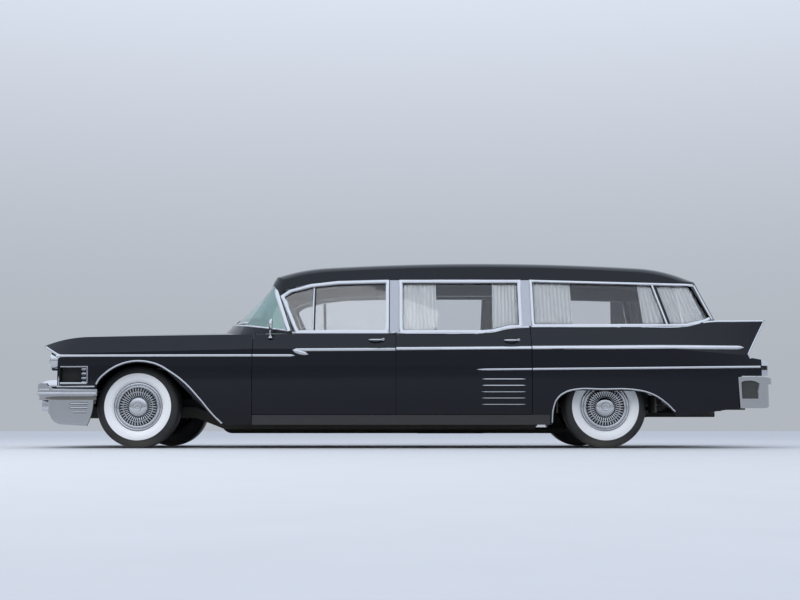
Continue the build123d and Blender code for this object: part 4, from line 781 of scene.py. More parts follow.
low_middle = on_screen([(y / 100, 1.086 - 0.01 * abs(y / 100)) for y in range(-66, 67, 6)])
low_edge = beside_screen(-1.0) + low_middle + beside_screen(1.0)[::-1]
high_edge = on_screen([(y / 100, 1.418) for y in range(-60, 61, 6)])
bars("windshield_frame", [low_edge, high_edge], 0.012)
arms = []
blades = []
for inward in (1.0, -1.0):
    pivot_y = -inward * WIPER_PIVOT_Y
    arms.append(on_screen([(pivot_y + inward * step * WIPER_STEP, 1.092 + step * WIPER_CLIMB)
                           for step in range(6)], 0.012))
    blades.append(on_screen([(pivot_y + inward * (0.02 + step * WIPER_STEP), 1.099 + step * WIPER_CLIMB)
                             for step in range(10)], 0.007))
bars("wiper_arms", arms, 0.004)
bars("wiper_blades", blades, 0.004, RUBBER, slot="body_paint")
print("windshield frame of", len(low_edge) + len(high_edge), "points")

# %% [markdown]
# ## Tyres
#
# A tyre is one closed profile spun round the axle: beads, bulging walls, a fine rib at the edge of the
# white ring, rounded shoulders and a tread with four grooves. The grooves zigzag, which is made by
# shifting their points a little to and fro along the axle.

# %% Tyres
TYRE_OUTER = [(0.2037, 0.072), (0.2125, 0.087), (0.232, 0.0985), (0.252, 0.1028), (0.270, 0.104),
              (0.2835, 0.1032), (0.2850, 0.1042), (0.2880, 0.1040), (0.2895, 0.1022), (0.303, 0.0995),
              (0.318, 0.0955), (0.330, 0.0905), (0.3385, 0.084), (0.3455, 0.0765), (0.3485, 0.071)]
TREAD = [(0.3495, 0.0525), (0.3425, 0.0510), (0.3425, 0.0470), (0.3498, 0.0455), (0.350, 0.0205),
         (0.3430, 0.0190), (0.3430, 0.0150), (0.350, 0.0135)]
TYRE_PROFILE = TYRE_OUTER + TREAD + [(r, -a) for r, a in reversed(TYRE_OUTER + TREAD)]
TYRE_STEPS = 192
GROOVE_RADIUS = 0.341
TREAD_HALF_WIDTH = 0.06
ZIGZAG = 0.0035
TRACK = 0.7745
for end, axle_x in AXLES.items():
    for side, sign in SIDES.items():
        centre = (axle_x, sign * TRACK, WHEEL_HEIGHT)
        wheel_body = f"wheel_{end}_{side}"
        bm = bmesh.new()
        lathe(bm, TYRE_PROFILE, centre, (0.0, sign, 0.0), TYRE_STEPS, closed=True)
        for vert in bm.verts:
            offset = vert.co - Vector(centre)
            if offset.xz.length > GROOVE_RADIUS and abs(offset.y) < TREAD_HALF_WIDTH:
                turn = math.atan2(offset.x, offset.z) / (2 * math.pi) * TYRE_STEPS / 4
                vert.co.y += ZIGZAG * (abs(turn % 1.0 - 0.5) * 4.0 - 1.0)
        tyre = make_piece(f"tyre_{end}_{side}_dressed", bm, TYRES[end], wheel_body, "tyre_rubber", 30.0)
        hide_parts(f"tyre_{end}_{side}")
print("tyres made of", len(tyre.data.polygons), "faces each")

# %% [markdown]
# ## Wheels
#
# A wheel is a rim, a hub with a disc, and a pressed cover. The cover has a channel with forty bright
# fins in it, a ring that crosses them and a cup in the middle of its dome. The channel's floor is a matt
# black sheet of painted shade between the fins. The round parts are spun profiles. One fin is shaped
# from a small grid and then copied round, also by spinning it.

# %% Wheels
WALL_Y = 0.8495
FINS = 40
FIN_START = 0.0885
FIN_LENGTH = 0.0710
FIN_HALF_WIDTHS = (0.0052, 0.0092)
FIN_HEIGHTS = (0.001, 0.0105, 0.0145, 0.0150, 0.0135, 0.001)
FIN_DEPTH = 0.0015
COVER = [(0.2037, -0.150), (0.2037, 0.003), (0.2000, 0.0095), (0.1940, 0.0115), (0.1885, 0.0085),
         (0.1850, 0.0030), (0.1815, 0.0085), (0.1760, 0.0115), (0.1690, 0.0115), (0.1640, 0.0085),
         (0.1615, 0.0010), (0.1600, -0.0010), (0.0880, -0.0010), (0.0855, 0.0030), (0.0820, 0.0110),
         (0.0740, 0.0185), (0.0620, 0.0235), (0.0480, 0.0265), (0.0360, 0.0275), (0.0350, 0.0320),
         (0.0335, 0.0342), (0.0310, 0.0342), (0.0285, 0.0325), (0.0200, 0.0310), (0.0100, 0.0325),
         (0.0, 0.0328), (0.0, 0.0250), (0.0860, -0.0050), (0.1880, -0.0060), (0.1897, -0.0200),
         (0.1897, -0.150)]
HUB = [(0.0243, -0.135), (0.062, -0.135), (0.062, -0.046), (0.130, -0.046), (0.1897, -0.060),
       (0.1897, -0.052), (0.132, -0.038), (0.062, -0.038), (0.062, -0.022), (0.0243, -0.020)]
RING = [(0.1215, 0.002), (0.1215, 0.0150), (0.1235, 0.0180), (0.1285, 0.0180), (0.1305, 0.0150),
        (0.1305, 0.002)]
CHANNEL = [(0.0870, 0.0), (0.1605, 0.0), (0.1605, -0.0006), (0.0870, -0.0006)]


def cover_fins(centre, sign):
    """A bmesh with the fins of one wheel cover."""
    bm = flat_grid(5, 4)
    for vert in bm.verts:
        along = (vert.co.x + 1.0) / 2.0
        across = vert.co.y
        half = FIN_HALF_WIDTHS[0] + along * (FIN_HALF_WIDTHS[1] - FIN_HALF_WIDTHS[0])
        height = FIN_HEIGHTS[round(along * 5)] * (1.0 - 0.92 * across ** 4)
        vert.co = centre + Vector((across * half, sign * height, -FIN_START - along * FIN_LENGTH))
    bmesh.ops.spin(bm, geom=bm.verts[:] + bm.edges[:] + bm.faces[:], cent=centre, axis=(0.0, sign, 0.0),
                   angle=2 * math.pi * (FINS - 1) / FINS, steps=FINS - 1, use_duplicate=True)
    thicken(bm, (0.0, -sign * FIN_DEPTH, 0.0))
    return bm


for end, axle_x in AXLES.items():
    for side, sign in SIDES.items():
        centre = Vector((axle_x, sign * WALL_Y, WHEEL_HEIGHT))
        outward = (0.0, sign, 0.0)
        body = f"wheel_{end}_{side}"
        bm = cover_fins(centre, sign)
        lathe(bm, RING, centre, outward, closed=True)
        lathe(bm, COVER, centre, outward, 120)
        lathe(bm, HUB, centre, outward, closed=True)
        wheel = make_piece(f"{body}_dressed", bm, body=body, slot="wheel_cover", angle=30.0)
        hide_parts(body)
        # The channel's floor is a matt black sheet of painted shade between the fins.
        bm = bmesh.new()
        lathe(bm, CHANNEL, centre, outward, closed=True)
        make_piece(f"cover_channel_{end}_{side}", bm, PAINTED_SHADE_BLACK, body, "wheel_cover", 30.0)
print("wheel covers have", FINS, "fins each;", len(wheel.data.polygons), "faces a wheel")

# %% [markdown]
# ## Headlamps
#
# Two round lamps sit under each brow. A lamp is a bright bezel, a bowl that reflects and a domed lens.
# All three are profiles spun round the lamp's own axis, which points forwards.

# %% Headlamps
LAMP_X = -2.885
LAMP_Z = 0.738
LAMP_YS = (-0.842, -0.660, 0.660, 0.842)
BEZEL = [(0.084, 0.0), (0.084, 0.066), (0.0825, 0.074), (0.078, 0.079), (0.072, 0.079), (0.0695, 0.075),
         (0.068, 0.066)]
BOWL = [(0.0695, 0.070), (0.064, 0.052), (0.050, 0.034), (0.030, 0.022), (0.012, 0.018), (0.0, 0.018)]
LENS = [(0.0695, 0.074), (0.062, 0.083), (0.048, 0.092), (0.030, 0.098), (0.012, 0.1005), (0.0, 0.101)]
LENS_BACK = [(r * 0.965, a - 0.0035) for r, a in reversed(LENS)]


def lamp_set(name, profile, finish=CHROME, slot="bright_trim"):
    """The same part of all four lamps as one piece."""
    bm = bmesh.new()
    for y in LAMP_YS:
        lathe(bm, profile, (LAMP_X, y, LAMP_Z), FORWARD, 72)
    return make_piece(name, bm, finish, slot=slot, angle=35.0)


bezels = lamp_set("headlamp_bezels", BEZEL)
lamp_set("headlamp_bowls", BOWL)
lamp_set("headlamp_lenses", LENS + LENS_BACK, LENS_GLASS, "lamp_glass")
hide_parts("headlamps")
print("headlamps made:", len(LAMP_YS))

# %% [markdown]
# ## Front bumper
#
# The bumper is one heavy pressing that wraps round the corners. A fat bead is rolled into it all the way
# round, and a thin crease lies above the bead across the front and the corners. Both are round bars led over
# the surface at one height: along the side, round the corner and across the front. Block-shaped guards cover
# two short blocks of the bumper, and a pointed round boss, a spun profile, stands above it on each side.

# %% Bumper bars
BUMPER = skin_of("front_bumper")
GUARD_SIZE = (0.104, 0.056, 0.088)
GUARD_PLACE = (-3.104, 0.4175, 0.366)
BULLET = [(0.060, -0.155), (0.060, -0.020), (0.0585, 0.015), (0.054, 0.043), (0.046, 0.068), (0.034, 0.088),
          (0.018, 0.101), (0.0, 0.105)]
BULLET_PLACE = (-3.040, 0.56, 0.528)
CORNER_X = -2.92
CORNER_Y = 0.80
CORNER_STEPS = 10


def round_the_bumper(height, end_x, out=0.0):
    """Points on the bumper at one height, from its right-hand end round the front to its left-hand end."""
    starts = [(x / 100, BESIDE, height) for x in range(round(end_x * 100), -290, -5)]
    half = trace(BUMPER, starts, (0.0, -1.0, 0.0), out)
    for step in range(1, CORNER_STEPS):
        angle = step / CORNER_STEPS * math.pi / 2
        away = Vector((-math.sin(angle), math.cos(angle), 0.0))
        half += trace(BUMPER, [Vector((CORNER_X, CORNER_Y, height)) + away], -away, out)
    half += trace(BUMPER, [(AHEAD, y / 100, height) for y in range(76, 0, -6)], BACKWARD, out)
    return half + [Vector((p.x, -p.y, p.z)) for p in reversed(half)]


bars("bumper_bead", [round_the_bumper(0.459, -2.552, 0.001)], 0.0125)
bars("bumper_crease", [round_the_bumper(0.492, -2.992)], 0.006)
guards = bmesh.new()
bullets = bmesh.new()
for sign in SIDES.values():
    add_box(guards, (GUARD_PLACE[0], sign * GUARD_PLACE[1], GUARD_PLACE[2]), GUARD_SIZE)
    lathe(bullets, BULLET, (BULLET_PLACE[0], sign * BULLET_PLACE[1], BULLET_PLACE[2]), FORWARD, 48)
round_edges(guards, guards.edges[:], 0.006, 3)
make_piece("bumper_guards", guards, angle=30.0)
make_piece("bumper_bullets", bullets, angle=30.0)
print("bumper bars, guards and bosses made")

# %% [markdown]
# Behind the bumper a painted pan closes the gap to the grille and keeps stones out. It starts at the
# bumper's upper lip, wherever a ray from behind meets it, and rises a little towards the rear.

# %% Gravel pan
PAN_HALF_WIDTH = 0.86
PAN_REAR_X = -2.872
PAN_FRONT_X = -3.05
PAN_Z = 0.478
PAN_RISE = 0.030
bm = flat_grid(4, 30)
for vert in bm.verts:
    y = vert.co.y * PAN_HALF_WIDTH
    lip = cast(BUMPER, (PAN_REAR_X, y, PAN_Z), FORWARD)
    front_x = lip.x + 0.001 if lip else PAN_FRONT_X
    share = (vert.co.x + 1.0) / 2.0
    vert.co = (front_x + (PAN_REAR_X - front_x) * share, y, PAN_Z + PAN_RISE * share ** 2)
bmesh.ops.solidify(bm, geom=bm.faces[:], thickness=0.002)
make_piece("gravel_pan", bm, PAINT, slot="body_paint")
print("gravel pan made")

# %% [markdown]
# ## Nose trim
#
# A bright rim follows the brow over the lamps, and a wedge fills the corner behind them. The recess in
# the fender's side has a pale frame and four short ribs at its rear end; its floor is a matt black sheet of
# painted shade. The bumper's side has three slots, each a bright bar in front of a black bar of painted
# shade, and along its underside lies a strip of darker plating with road dust, which is painted shade.

# %% Nose trim
RECESS_MIDDLE = (-2.7705, 0.603)
RECESS_HALF = (0.086, 0.073)
RECESS_FLOOR_Y = 0.9315
SHEET_DEPTH = 0.001
BUMPER_SLOTS = ((-2.770, -2.622, 0.375), (-2.770, -2.626, 0.340), (-2.740, -2.636, 0.305))
SLOT_GAP_Y = 0.9455
SLOT_BAR_Y = 0.9545
RIB_PITCH = 0.0375
RIB_START = 0.528 + RIB_PITCH / 2
RIB_SETTINGS = {"taper": (0.006, 0.0), "finish": SATIN}
lay_strips([
    ("brow_rim", "front_fender_*", [(-3.020, 0.857), (-2.882, 0.782)], 0.020, 0.010,
     {"soft": 2}),
    ("brow_wedge", "front_fender_*", even_line([(-2.905, 0.785), (-2.862, 0.764)], 0.01), 0.040, 0.012,
     {"taper": (0.03, 0.02)}),
    ("recess_top", "front_fender_*", [(-2.858, 0.683), (-2.630, 0.683)], 0.014, 0.008,
     {"soft": 4, "finish": SATIN}),
    ("recess_end", "front_fender_*", [(-2.628, 0.545), (-2.628, 0.688)], 0.014, 0.008,
     {"finish": SATIN}),
    ("blade_top", "front_bumper", [(-2.930, 0.489), (-2.552, 0.487)], 0.012, 0.007,
     {"taper": (0.05, 0.01)}),
    # The underside strip is darker plating: painted shade under the blade, with road dust.
    ("blade_underside", "front_bumper", [(-3.000, 0.421), (-2.552, 0.421)], 0.030, 0.002,
     {"taper": (0.16, 0.0), "power": 8.0, "finish": PAINTED_SHADE_PLATING}),
])
rib_heights = [RIB_START + RIB_PITCH * number for number in range(4)]
rib_lines = [even_line([(-2.680, height), (-2.636, height)], 0.008) for height in rib_heights]
lay_strips([(f"recess_rib_*_{number}", "front_fender_*", line, 0.024, 0.006, RIB_SETTINGS)
            for number, line in enumerate(rib_lines)])
for side, sign in SIDES.items():
    fender = skin_of(f"front_fender_{side}")
    brow = trace(fender, [(AHEAD, sign * y / 100, 0.862) for y in range(72, 88, 4)], BACKWARD, 0.001)
    bars(f"brow_edge_{side}", [brow], 0.009)
    ledge_y = skin_y(fender, -2.62, 0.545, sign) - sign * 0.002
    bars(f"recess_sill_{side}", [[(-2.855, ledge_y, 0.545), (-2.632, ledge_y, 0.545)]], 0.009)
    # The recess floor is a matt black sheet of painted shade.
    bm = flat_grid(1, 1)
    for vert in bm.verts:
        vert.co = (RECESS_MIDDLE[0] + vert.co.x * RECESS_HALF[0], sign * RECESS_FLOOR_Y,
                   RECESS_MIDDLE[1] + vert.co.y * RECESS_HALF[1])
    thicken(bm, (0.0, -sign * SHEET_DEPTH, 0.0))
    make_piece(f"recess_floor_{side}", bm, PAINTED_SHADE_BLACK, slot="body_paint")
    for number, (front_x, rear_x, height) in enumerate(BUMPER_SLOTS):
        # Each slot's gap is a black bar of painted shade behind its bright bar.
        gap = [(front_x - 0.012, sign * SLOT_GAP_Y, height), (rear_x + 0.002, sign * SLOT_GAP_Y, height)]
        bar = [(front_x, sign * SLOT_BAR_Y, height), (rear_x, sign * SLOT_BAR_Y, height)]
        bars(f"bumper_gap_{side}_{number}", [gap], 0.0095, PAINTED_SHADE_BLACK)
        bars(f"bumper_bar_{side}_{number}", [bar], 0.0070)
print("nose trim made")

# %% [markdown]
# ## Tail pan
#
# Below the loading door a painted panel reaches down to the rear bumper. It is bowed a little across the
# car and tucks in along its lower edge, so it is a grid whose points are moved forwards by both.

# %% Tail pan
TAIL_PAN_X = 2.931
TAIL_PAN_HALF_WIDTH = 0.66
TAIL_PAN_LOW = 0.445
TAIL_PAN_HEIGHT = 0.161
TAIL_PAN_BOW = 0.034
TAIL_PAN_TUCK = 0.02
TUCK_SHARE = 0.25
bm = flat_grid(24, 8)
for vert in bm.verts:
    across = vert.co.x
    height = (vert.co.y + 1.0) / 2.0
    under = max(0.0, TUCK_SHARE - height) / TUCK_SHARE
    vert.co = (TAIL_PAN_X - TAIL_PAN_BOW * across ** 2 - TAIL_PAN_TUCK * under ** 2,
               across * TAIL_PAN_HALF_WIDTH, TAIL_PAN_LOW + TAIL_PAN_HEIGHT * height)
bmesh.ops.solidify(bm, geom=bm.faces[:], thickness=0.003)
make_piece("tail_pan", bm, PAINT, slot="body_paint")
print("pan under the loading door made")

# %% [markdown]
# ## Tail trim
#
# The fin has a bright top edge and a ribbon down its rear edge. A red lens sits in the end of each pod
# behind a bright ring and a matt black band of painted shade, and the bumper's corner has a dull recess.

# %% Tail trim
FIN_TOP_LINE = [(2.585, 1.064), (2.637, 1.071), (2.85, 1.074), (3.090, 1.0755)]
FIN_REAR_LINE = [(3.092, 1.070), (2.935, 0.790), (2.950, 0.752)]
TAIL_LENS = [(0.0415, 0.0), (0.040, 0.008), (0.034, 0.017), (0.022, 0.022), (0.010, 0.0235), (0.0, 0.024)]
TAIL_RING = [(0.050, 0.0), (0.050, 0.007), (0.0465, 0.0105), (0.043, 0.009), (0.0425, 0.0)]
TAIL_LENS_X = 3.070
TAIL_RING_X = 3.086
TAIL_LAMP_Y = 0.925
TAIL_LAMP_Z = 0.672
POD_RECESS = [(2.878, 0.416), (2.875, 0.556), (2.905, 0.566), (2.960, 0.569), (3.000, 0.560), (3.026, 0.545),
              (3.010, 0.480), (3.014, 0.416)]
POD_FLOOR_Y = 0.9555
lay_strips((
    ("fin_top", "quarter_*", smooth_line(FIN_TOP_LINE), 0.016, 0.008, {"soft": 2}),
    ("fin_rear", "quarter_*", FIN_REAR_LINE, 0.016, 0.008, {}),
    # The pod band is a matt black sheet of painted shade.
    ("pod_band", "tail_lamps", even_line([(3.043, 0.674), (3.088, 0.674)], 0.01), 0.036, 0.0015,
     {"power": 8.0, "finish": PAINTED_SHADE_BLACK}),
))
lenses = bmesh.new()
rings = bmesh.new()
for side, sign in SIDES.items():
    lamp_y = sign * TAIL_LAMP_Y
    lathe(lenses, TAIL_LENS, (TAIL_LENS_X, lamp_y, TAIL_LAMP_Z), BACKWARD, 48)
    lathe(rings, TAIL_RING, (TAIL_RING_X, lamp_y, TAIL_LAMP_Z), BACKWARD, 48, closed=True)
    bm = bmesh.new()
    outline = [bm.verts.new((x, sign * POD_FLOOR_Y, z)) for x, z in POD_RECESS]
    bmesh.ops.contextual_create(bm, geom=outline)
    thicken(bm, (0.0, -sign * SHEET_DEPTH, 0.0))
    make_piece(f"pod_recess_{side}", bm, STONE)
make_piece("tail_lamp_lenses", lenses, TAIL_RED, slot="tail_lamp_plastic")
make_piece("tail_lamp_rings", rings)
print("tail trim made")

# %% [markdown]
# ## Door handles
#
# A pull handle is a bowed bar that stands off the door on two feet, with a round push button behind it.

# %% Door handles
HANDLES = {"front_door": (-0.262, 0.911), "rear_door": (0.883, 0.907)}
HANDLE_LENGTH = 0.115
BUTTON = [(0.015, 0.0), (0.015, 0.005), (0.011, 0.009), (0.010, 0.016), (0.008, 0.019), (0.0, 0.0195)]
BUTTON_SPACING = 0.004
GRIP_STEPS = 12
GRIP_RISE = 0.026


def grip_rise(step):
    """How far a handle stands off at one of its steps."""
    return GRIP_RISE * math.sin(math.pi * step / GRIP_STEPS) ** 0.5


for side, sign in SIDES.items():
    for door, (start_x, height) in HANDLES.items():
        body = f"{door}_{side}"
        skins = skin_of(body)
        grip = []
        for step in range(GRIP_STEPS + 1):
            x = start_x + step / GRIP_STEPS * HANDLE_LENGTH
            grip.append((x, skin_y(skins, x, height, sign) + sign * grip_rise(step), height))
        bars(f"{door}_grip_{side}", [grip], 0.0075, body=body)
        button_x = start_x + HANDLE_LENGTH + BUTTON_SPACING
        button_y = skin_y(skins, button_x, height, sign)
        bm = bmesh.new()
        lathe(bm, BUTTON, (button_x, button_y, height), (0.0, sign, 0.0), 32)
        make_piece(f"{door}_button_{side}", bm, body=body)
print("door handles made:", 2 * len(HANDLES))

# %% [markdown]
# ## Door mirrors
#
# A round mirror stands on a bent stem above each front door. Its housing is a shallow spun dome that points
# forwards, with the glass on its rear face.

# %% Mirrors
MIRROR_CENTRE = (-1.097, 0.940, 1.040)
MIRROR_PROFILE = [(0.0, 0.015), (0.020, 0.0145), (0.036, 0.011), (0.046, 0.004), (0.0505, -0.006),
                  (0.0515, -0.013), (0.049, -0.015), (0.046, -0.0125), (0.0, -0.0125)]
MIRROR_FOOT = [(0.020, 0.0), (0.020, 0.004), (0.016, 0.009), (0.010, 0.014), (0.0085, 0.022)]
FOOT_Z = 0.927
STEM_START = 0.012
STEM_STEP = 0.0078
STEM_BEND = 0.004
for side, sign in SIDES.items():
    x, y, z = MIRROR_CENTRE
    body = f"front_door_{side}"
    bm = bmesh.new()
    lathe(bm, MIRROR_PROFILE, (x, sign * y, z), FORWARD, 64)
    lathe(bm, MIRROR_FOOT, (x, sign * y, FOOT_Z), UP, 40, radial=BACKWARD)
    housing = make_piece(f"mirror_shell_{side}", bm, body=body, angle=35.0)
    stem = [(x - STEM_BEND * math.sin(step / 8 * math.pi), sign * y, FOOT_Z + STEM_START + step * STEM_STEP)
            for step in range(9)]
    bars(f"mirror_stem_{side}", [stem], 0.0075, body=body)
    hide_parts(f"mirror_{side}")
print("mirrors made")

# %% [markdown]
# ## Curtains
#
# The curtains are cotton sheets, gathered on rods above and below the glass to about two thirds of their
# width. Each starts as a flat grid. Its columns are pushed in and out as a soft wave, deeper in the middle
# of its height than at the rods, and no two folds are quite alike. A Solidify modifier gives the cloth
# its thickness. The width that was cut is measured along the folds.

# %% Curtain cloth
FOLD = 0.033
FOLD_DEPTH = 0.0085
FOLD_STEPS = 12
CURTAIN_ROWS = 14
CLOTH_THICKNESS = 0.0008
CURTAIN_INSET = 0.0178
dice = random.Random(7)


def height_at(line, x):
    """The height of a line of (x, z) points at x."""
    for (x0, z0), (x1, z1) in zip(line, line[1:]):
        if x0 <= x <= x1:
            return z0 + (z1 - z0) * (x - x0) / (x1 - x0)
    return line[0][1] if x < line[0][0] else line[-1][1]


def curtain_grid(pane, outward, front, rear, low, high, columns):
    """A flat grid, and for each of its points (u, v), where its ray starts and where it meets the pane."""
    skins = skin_of(pane)
    bm = flat_grid(columns, CURTAIN_ROWS)
    lattice = {}
    for vert in bm.verts:
        u = (vert.co.x + 1.0) / 2.0
        v = (vert.co.y + 1.0) / 2.0
        start = front[1] + (front[0] - front[1]) * v
        end = rear[1] + (rear[0] - rear[1]) * v
        place = start + (end - start) * u
        top = height_at(high, place)
        foot = height_at(low, place)
        z = foot + (top - foot) * v
        origin = Vector((place, outward.y * BESIDE, z)) if outward.y else Vector((BEHIND, place, z))
        lattice[vert] = (u, v, origin, cast(skins, origin, -outward))
    return bm, lattice


def curtain(name, node, pane, outward, front, rear, low, high, body):
    """A pleated sheet behind a pane. front and rear are its edges' places above and below."""
    outward = Vector(outward)
    width = abs(sum(rear) - sum(front)) / 2
    folds = max(4, round(width / FOLD))
    depths = [dice.uniform(0.7, 1.05) for _ in range(folds + 2)]
    shifts = [dice.uniform(-0.12, 0.12) for _ in range(folds + 2)]
    columns = folds * FOLD_STEPS
    bm, lattice = curtain_grid(pane, outward, front, rear, low, high, columns)
    known = [(origin, hit) for _, _, origin, hit in lattice.values() if hit is not None]
    for vert, (u, v, origin, hit) in lattice.items():
        if hit is None:
            hit = min(known, key=lambda pair: (pair[0] - origin).length_squared)[1]
        turn = u * folds
        fold = int(turn)
        part = turn - fold
        depth = depths[fold] * (1.0 - part) + depths[fold + 1] * part
        shift = shifts[fold] * (1.0 - part) + shifts[fold + 1] * part
        phase = 2.0 * math.pi * (turn + shift * (0.4 + v))
        swell = 0.72 + 0.28 * math.sin(math.pi * v)
        push = math.sin(phase) * FOLD_DEPTH * depth * swell - CURTAIN_INSET
        sway = 0.16 * FOLD * math.sin(2.0 * phase) * depth * min(1.0, 12.0 * u, 12.0 * (1.0 - u))
        if outward.y:
            vert.co = (origin.x + sway, hit.y + outward.y * push, origin.z)
        else:
            vert.co = (hit.x + push, origin.y + sway, origin.z)
    area = sum(face.calc_area() for face in bm.faces)
    piece = make_piece(name, bm, CURTAIN, body, "curtain_cloth", 180.0)
    wall = piece.modifiers.new("thickness", "SOLIDIFY")
    wall.thickness = CLOTH_THICKNESS
    wall.offset = 0.0
    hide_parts(node)


# %% Curtains
DOOR_LOW = [(0.02, 0.995), (0.70, 0.995), (0.80, 1.001), (0.92, 1.037), (1.02, 1.049)]
DOOR_HIGH = [(0.02, 1.421), (1.02, 1.421)]
QUARTER_LOW = [(1.14, 1.050), (2.44, 1.054), (2.60, 1.093), (2.67, 1.112)]
QUARTER_HIGH = [(1.14, 1.430), (2.524, 1.392), (2.668, 1.112)]
TAIL_LOW = [(-1.0, 1.078), (1.0, 1.078)]
TAIL_HIGH = [(-1.0, 1.374), (1.0, 1.374)]
DOOR_CURTAINS = (("front", (0.026, 0.026), (0.310, 0.318)), ("rear", (0.800, 0.790), (1.010, 1.010)))
QUARTER_CURTAINS = (("front", (1.153, 1.153), (1.474, 1.482)), ("middle", (2.060, 2.082), (2.170, 2.258)),
                    ("rear", (2.212, 2.300), (2.496, 2.606)))
TAIL_INNER_Y = 0.305
TAIL_OUTER_Y = 0.535
for side, sign in SIDES.items():
    outward = (0.0, sign, 0.0)
    for place, front, rear in DOOR_CURTAINS:
        curtain(f"door_curtain_{place}_{side}", f"rear_door_curtains_{side}", f"rear_door_glass_{side}",
                outward, front, rear, DOOR_LOW, DOOR_HIGH, f"rear_door_{side}")
    for place, front, rear in QUARTER_CURTAINS:
        curtain(f"quarter_curtain_{place}_{side}", "quarter_curtains", "fixed_glass", outward, front, rear,
                QUARTER_LOW, QUARTER_HIGH, "body")
    inner = sign * TAIL_INNER_Y
    outer = sign * TAIL_OUTER_Y
    curtain(f"tail_curtain_{side}", "tail_curtains", "loading_door_glass", BACKWARD, (inner, inner),
            (outer, outer), TAIL_LOW, TAIL_HIGH, "loading_door")

# %% [markdown]
# ## Front seat
#
# The bench is stuffed: a cushion on a plinth and a back that leans. Each pad is remeshed to even squares,
# blown up a little by a Cloth simulation with pressure and no gravity, and then given its sewn channels.

# %% Stuffed pads
PRESSURE = 4.0
PRESSURE_FRAMES = 20
VOXEL = 0.012
CHANNEL_PITCH = 0.095
CHANNEL_HALF_WIDTH = 0.009
CHANNEL_DEPTH = 0.008


def swollen_mesh(piece, cap):
    """The remeshed pad, blown up by pressure, but nowhere further than cap from its own surface."""
    even = piece.modifiers.new("even", "REMESH")
    even.mode = "VOXEL"
    even.voxel_size = VOXEL
    cloth = piece.modifiers.new("pressure", "CLOTH")
    cloth.settings.use_pressure = True
    cloth.settings.uniform_pressure_force = PRESSURE
    cloth.settings.effector_weights.gravity = 0.0
    for step in range(1, PRESSURE_FRAMES + 1):
        bpy.context.scene.frame_set(step)
    graph = bpy.context.evaluated_depsgraph_get()
    mesh = bpy.data.meshes.new_from_object(piece.evaluated_get(graph))
    piece.modifiers.clear()
    bpy.context.scene.frame_set(1)
    solid = BVHTree.FromObject(piece, bpy.context.evaluated_depsgraph_get())
    for vert in mesh.vertices:
        nearest, _, _, distance = solid.find_nearest(vert.co)
        if distance > cap:
            vert.co = nearest + (vert.co - nearest).normalized() * cap
    return mesh


def pad(name, low, high, corner, cap, channel_axis, lean=0.0):
    """A stuffed pad inside a box, crowned by pressure, with channels sewn across it."""
    middle = (Vector(low) + Vector(high)) / 2
    size = Vector(high) - Vector(low)
    bm = bmesh.new()
    add_box(bm, middle, size)
    round_edges(bm, bm.edges[:], corner, 5)
    piece = make_piece(name, bm, LEATHER, slot="seat_cloth", angle=180.0)
    mesh = swollen_mesh(piece, cap)
    for vert in mesh.vertices:
        place = vert.co[1] / CHANNEL_PITCH
        groove = math.exp(-((place - round(place)) * CHANNEL_PITCH / CHANNEL_HALF_WIDTH) ** 2)
        face = (vert.co[channel_axis] - middle[channel_axis]) / (size[channel_axis] / 2)
        if (face > 0.3) if channel_axis == 2 else (face < -0.3):
            vert.co[channel_axis] -= math.copysign(CHANNEL_DEPTH, face) * groove
        vert.co.x += lean * (vert.co.z - low[2])
    piece.data = mesh
    mesh.name = name
    mesh.materials.clear()
    mesh.materials.append(LEATHER)
    mesh.shade_smooth()
    finer = piece.modifiers.new("finer", "SUBSURF")
    finer.levels = finer.render_levels = 1
    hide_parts("front_seat")
    print(name, "has", len(mesh.polygons), "faces before its last subdivision")


# %% Front bench
pad("seat_cushion", (-0.742, -0.745, 0.385), (-0.255, 0.745, 0.540), 0.055, 0.024, 2)
pad("seat_back", (-0.262, -0.745, 0.560), (-0.190, 0.745, 1.015), 0.034, 0.020, 0, lean=0.17)
bm = bmesh.new()
add_box(bm, (-0.49, 0.0, 0.333), (0.47, 1.46, 0.100))
round_edges(bm, bm.edges[:], 0.012, 3)
make_piece("seat_plinth", bm, DASH, slot="dash_plastic")
print("bench made")

# %% [markdown]
# ## Inside
#
# The roof has a dark cloth lining, which is a grid laid just under it by rays cast upwards. The deck has
# bright rails with rollers across it, on which a coffin slides. A bright horn ring and dials face the driver.

# %% Roof lining
LINING_FRONT_X = -0.99
LINING_LENGTH = 3.44
LINING_HALF_WIDTH = 0.60
LINING_SPACING = 0.006
bm = flat_grid(60, 20)
for vert in bm.verts:
    x = LINING_FRONT_X + (vert.co.x + 1.0) / 2.0 * LINING_LENGTH
    y = vert.co.y * LINING_HALF_WIDTH
    above = cast(skin_of("roof"), (x, y, 1.0), UP)
    vert.co = (x, y, above.z - LINING_SPACING)
bmesh.ops.solidify(bm, geom=bm.faces[:], thickness=0.003)
make_piece("roof_lining", bm, LINING, slot="curtain_cloth", angle=60.0)
print("roof lining made")

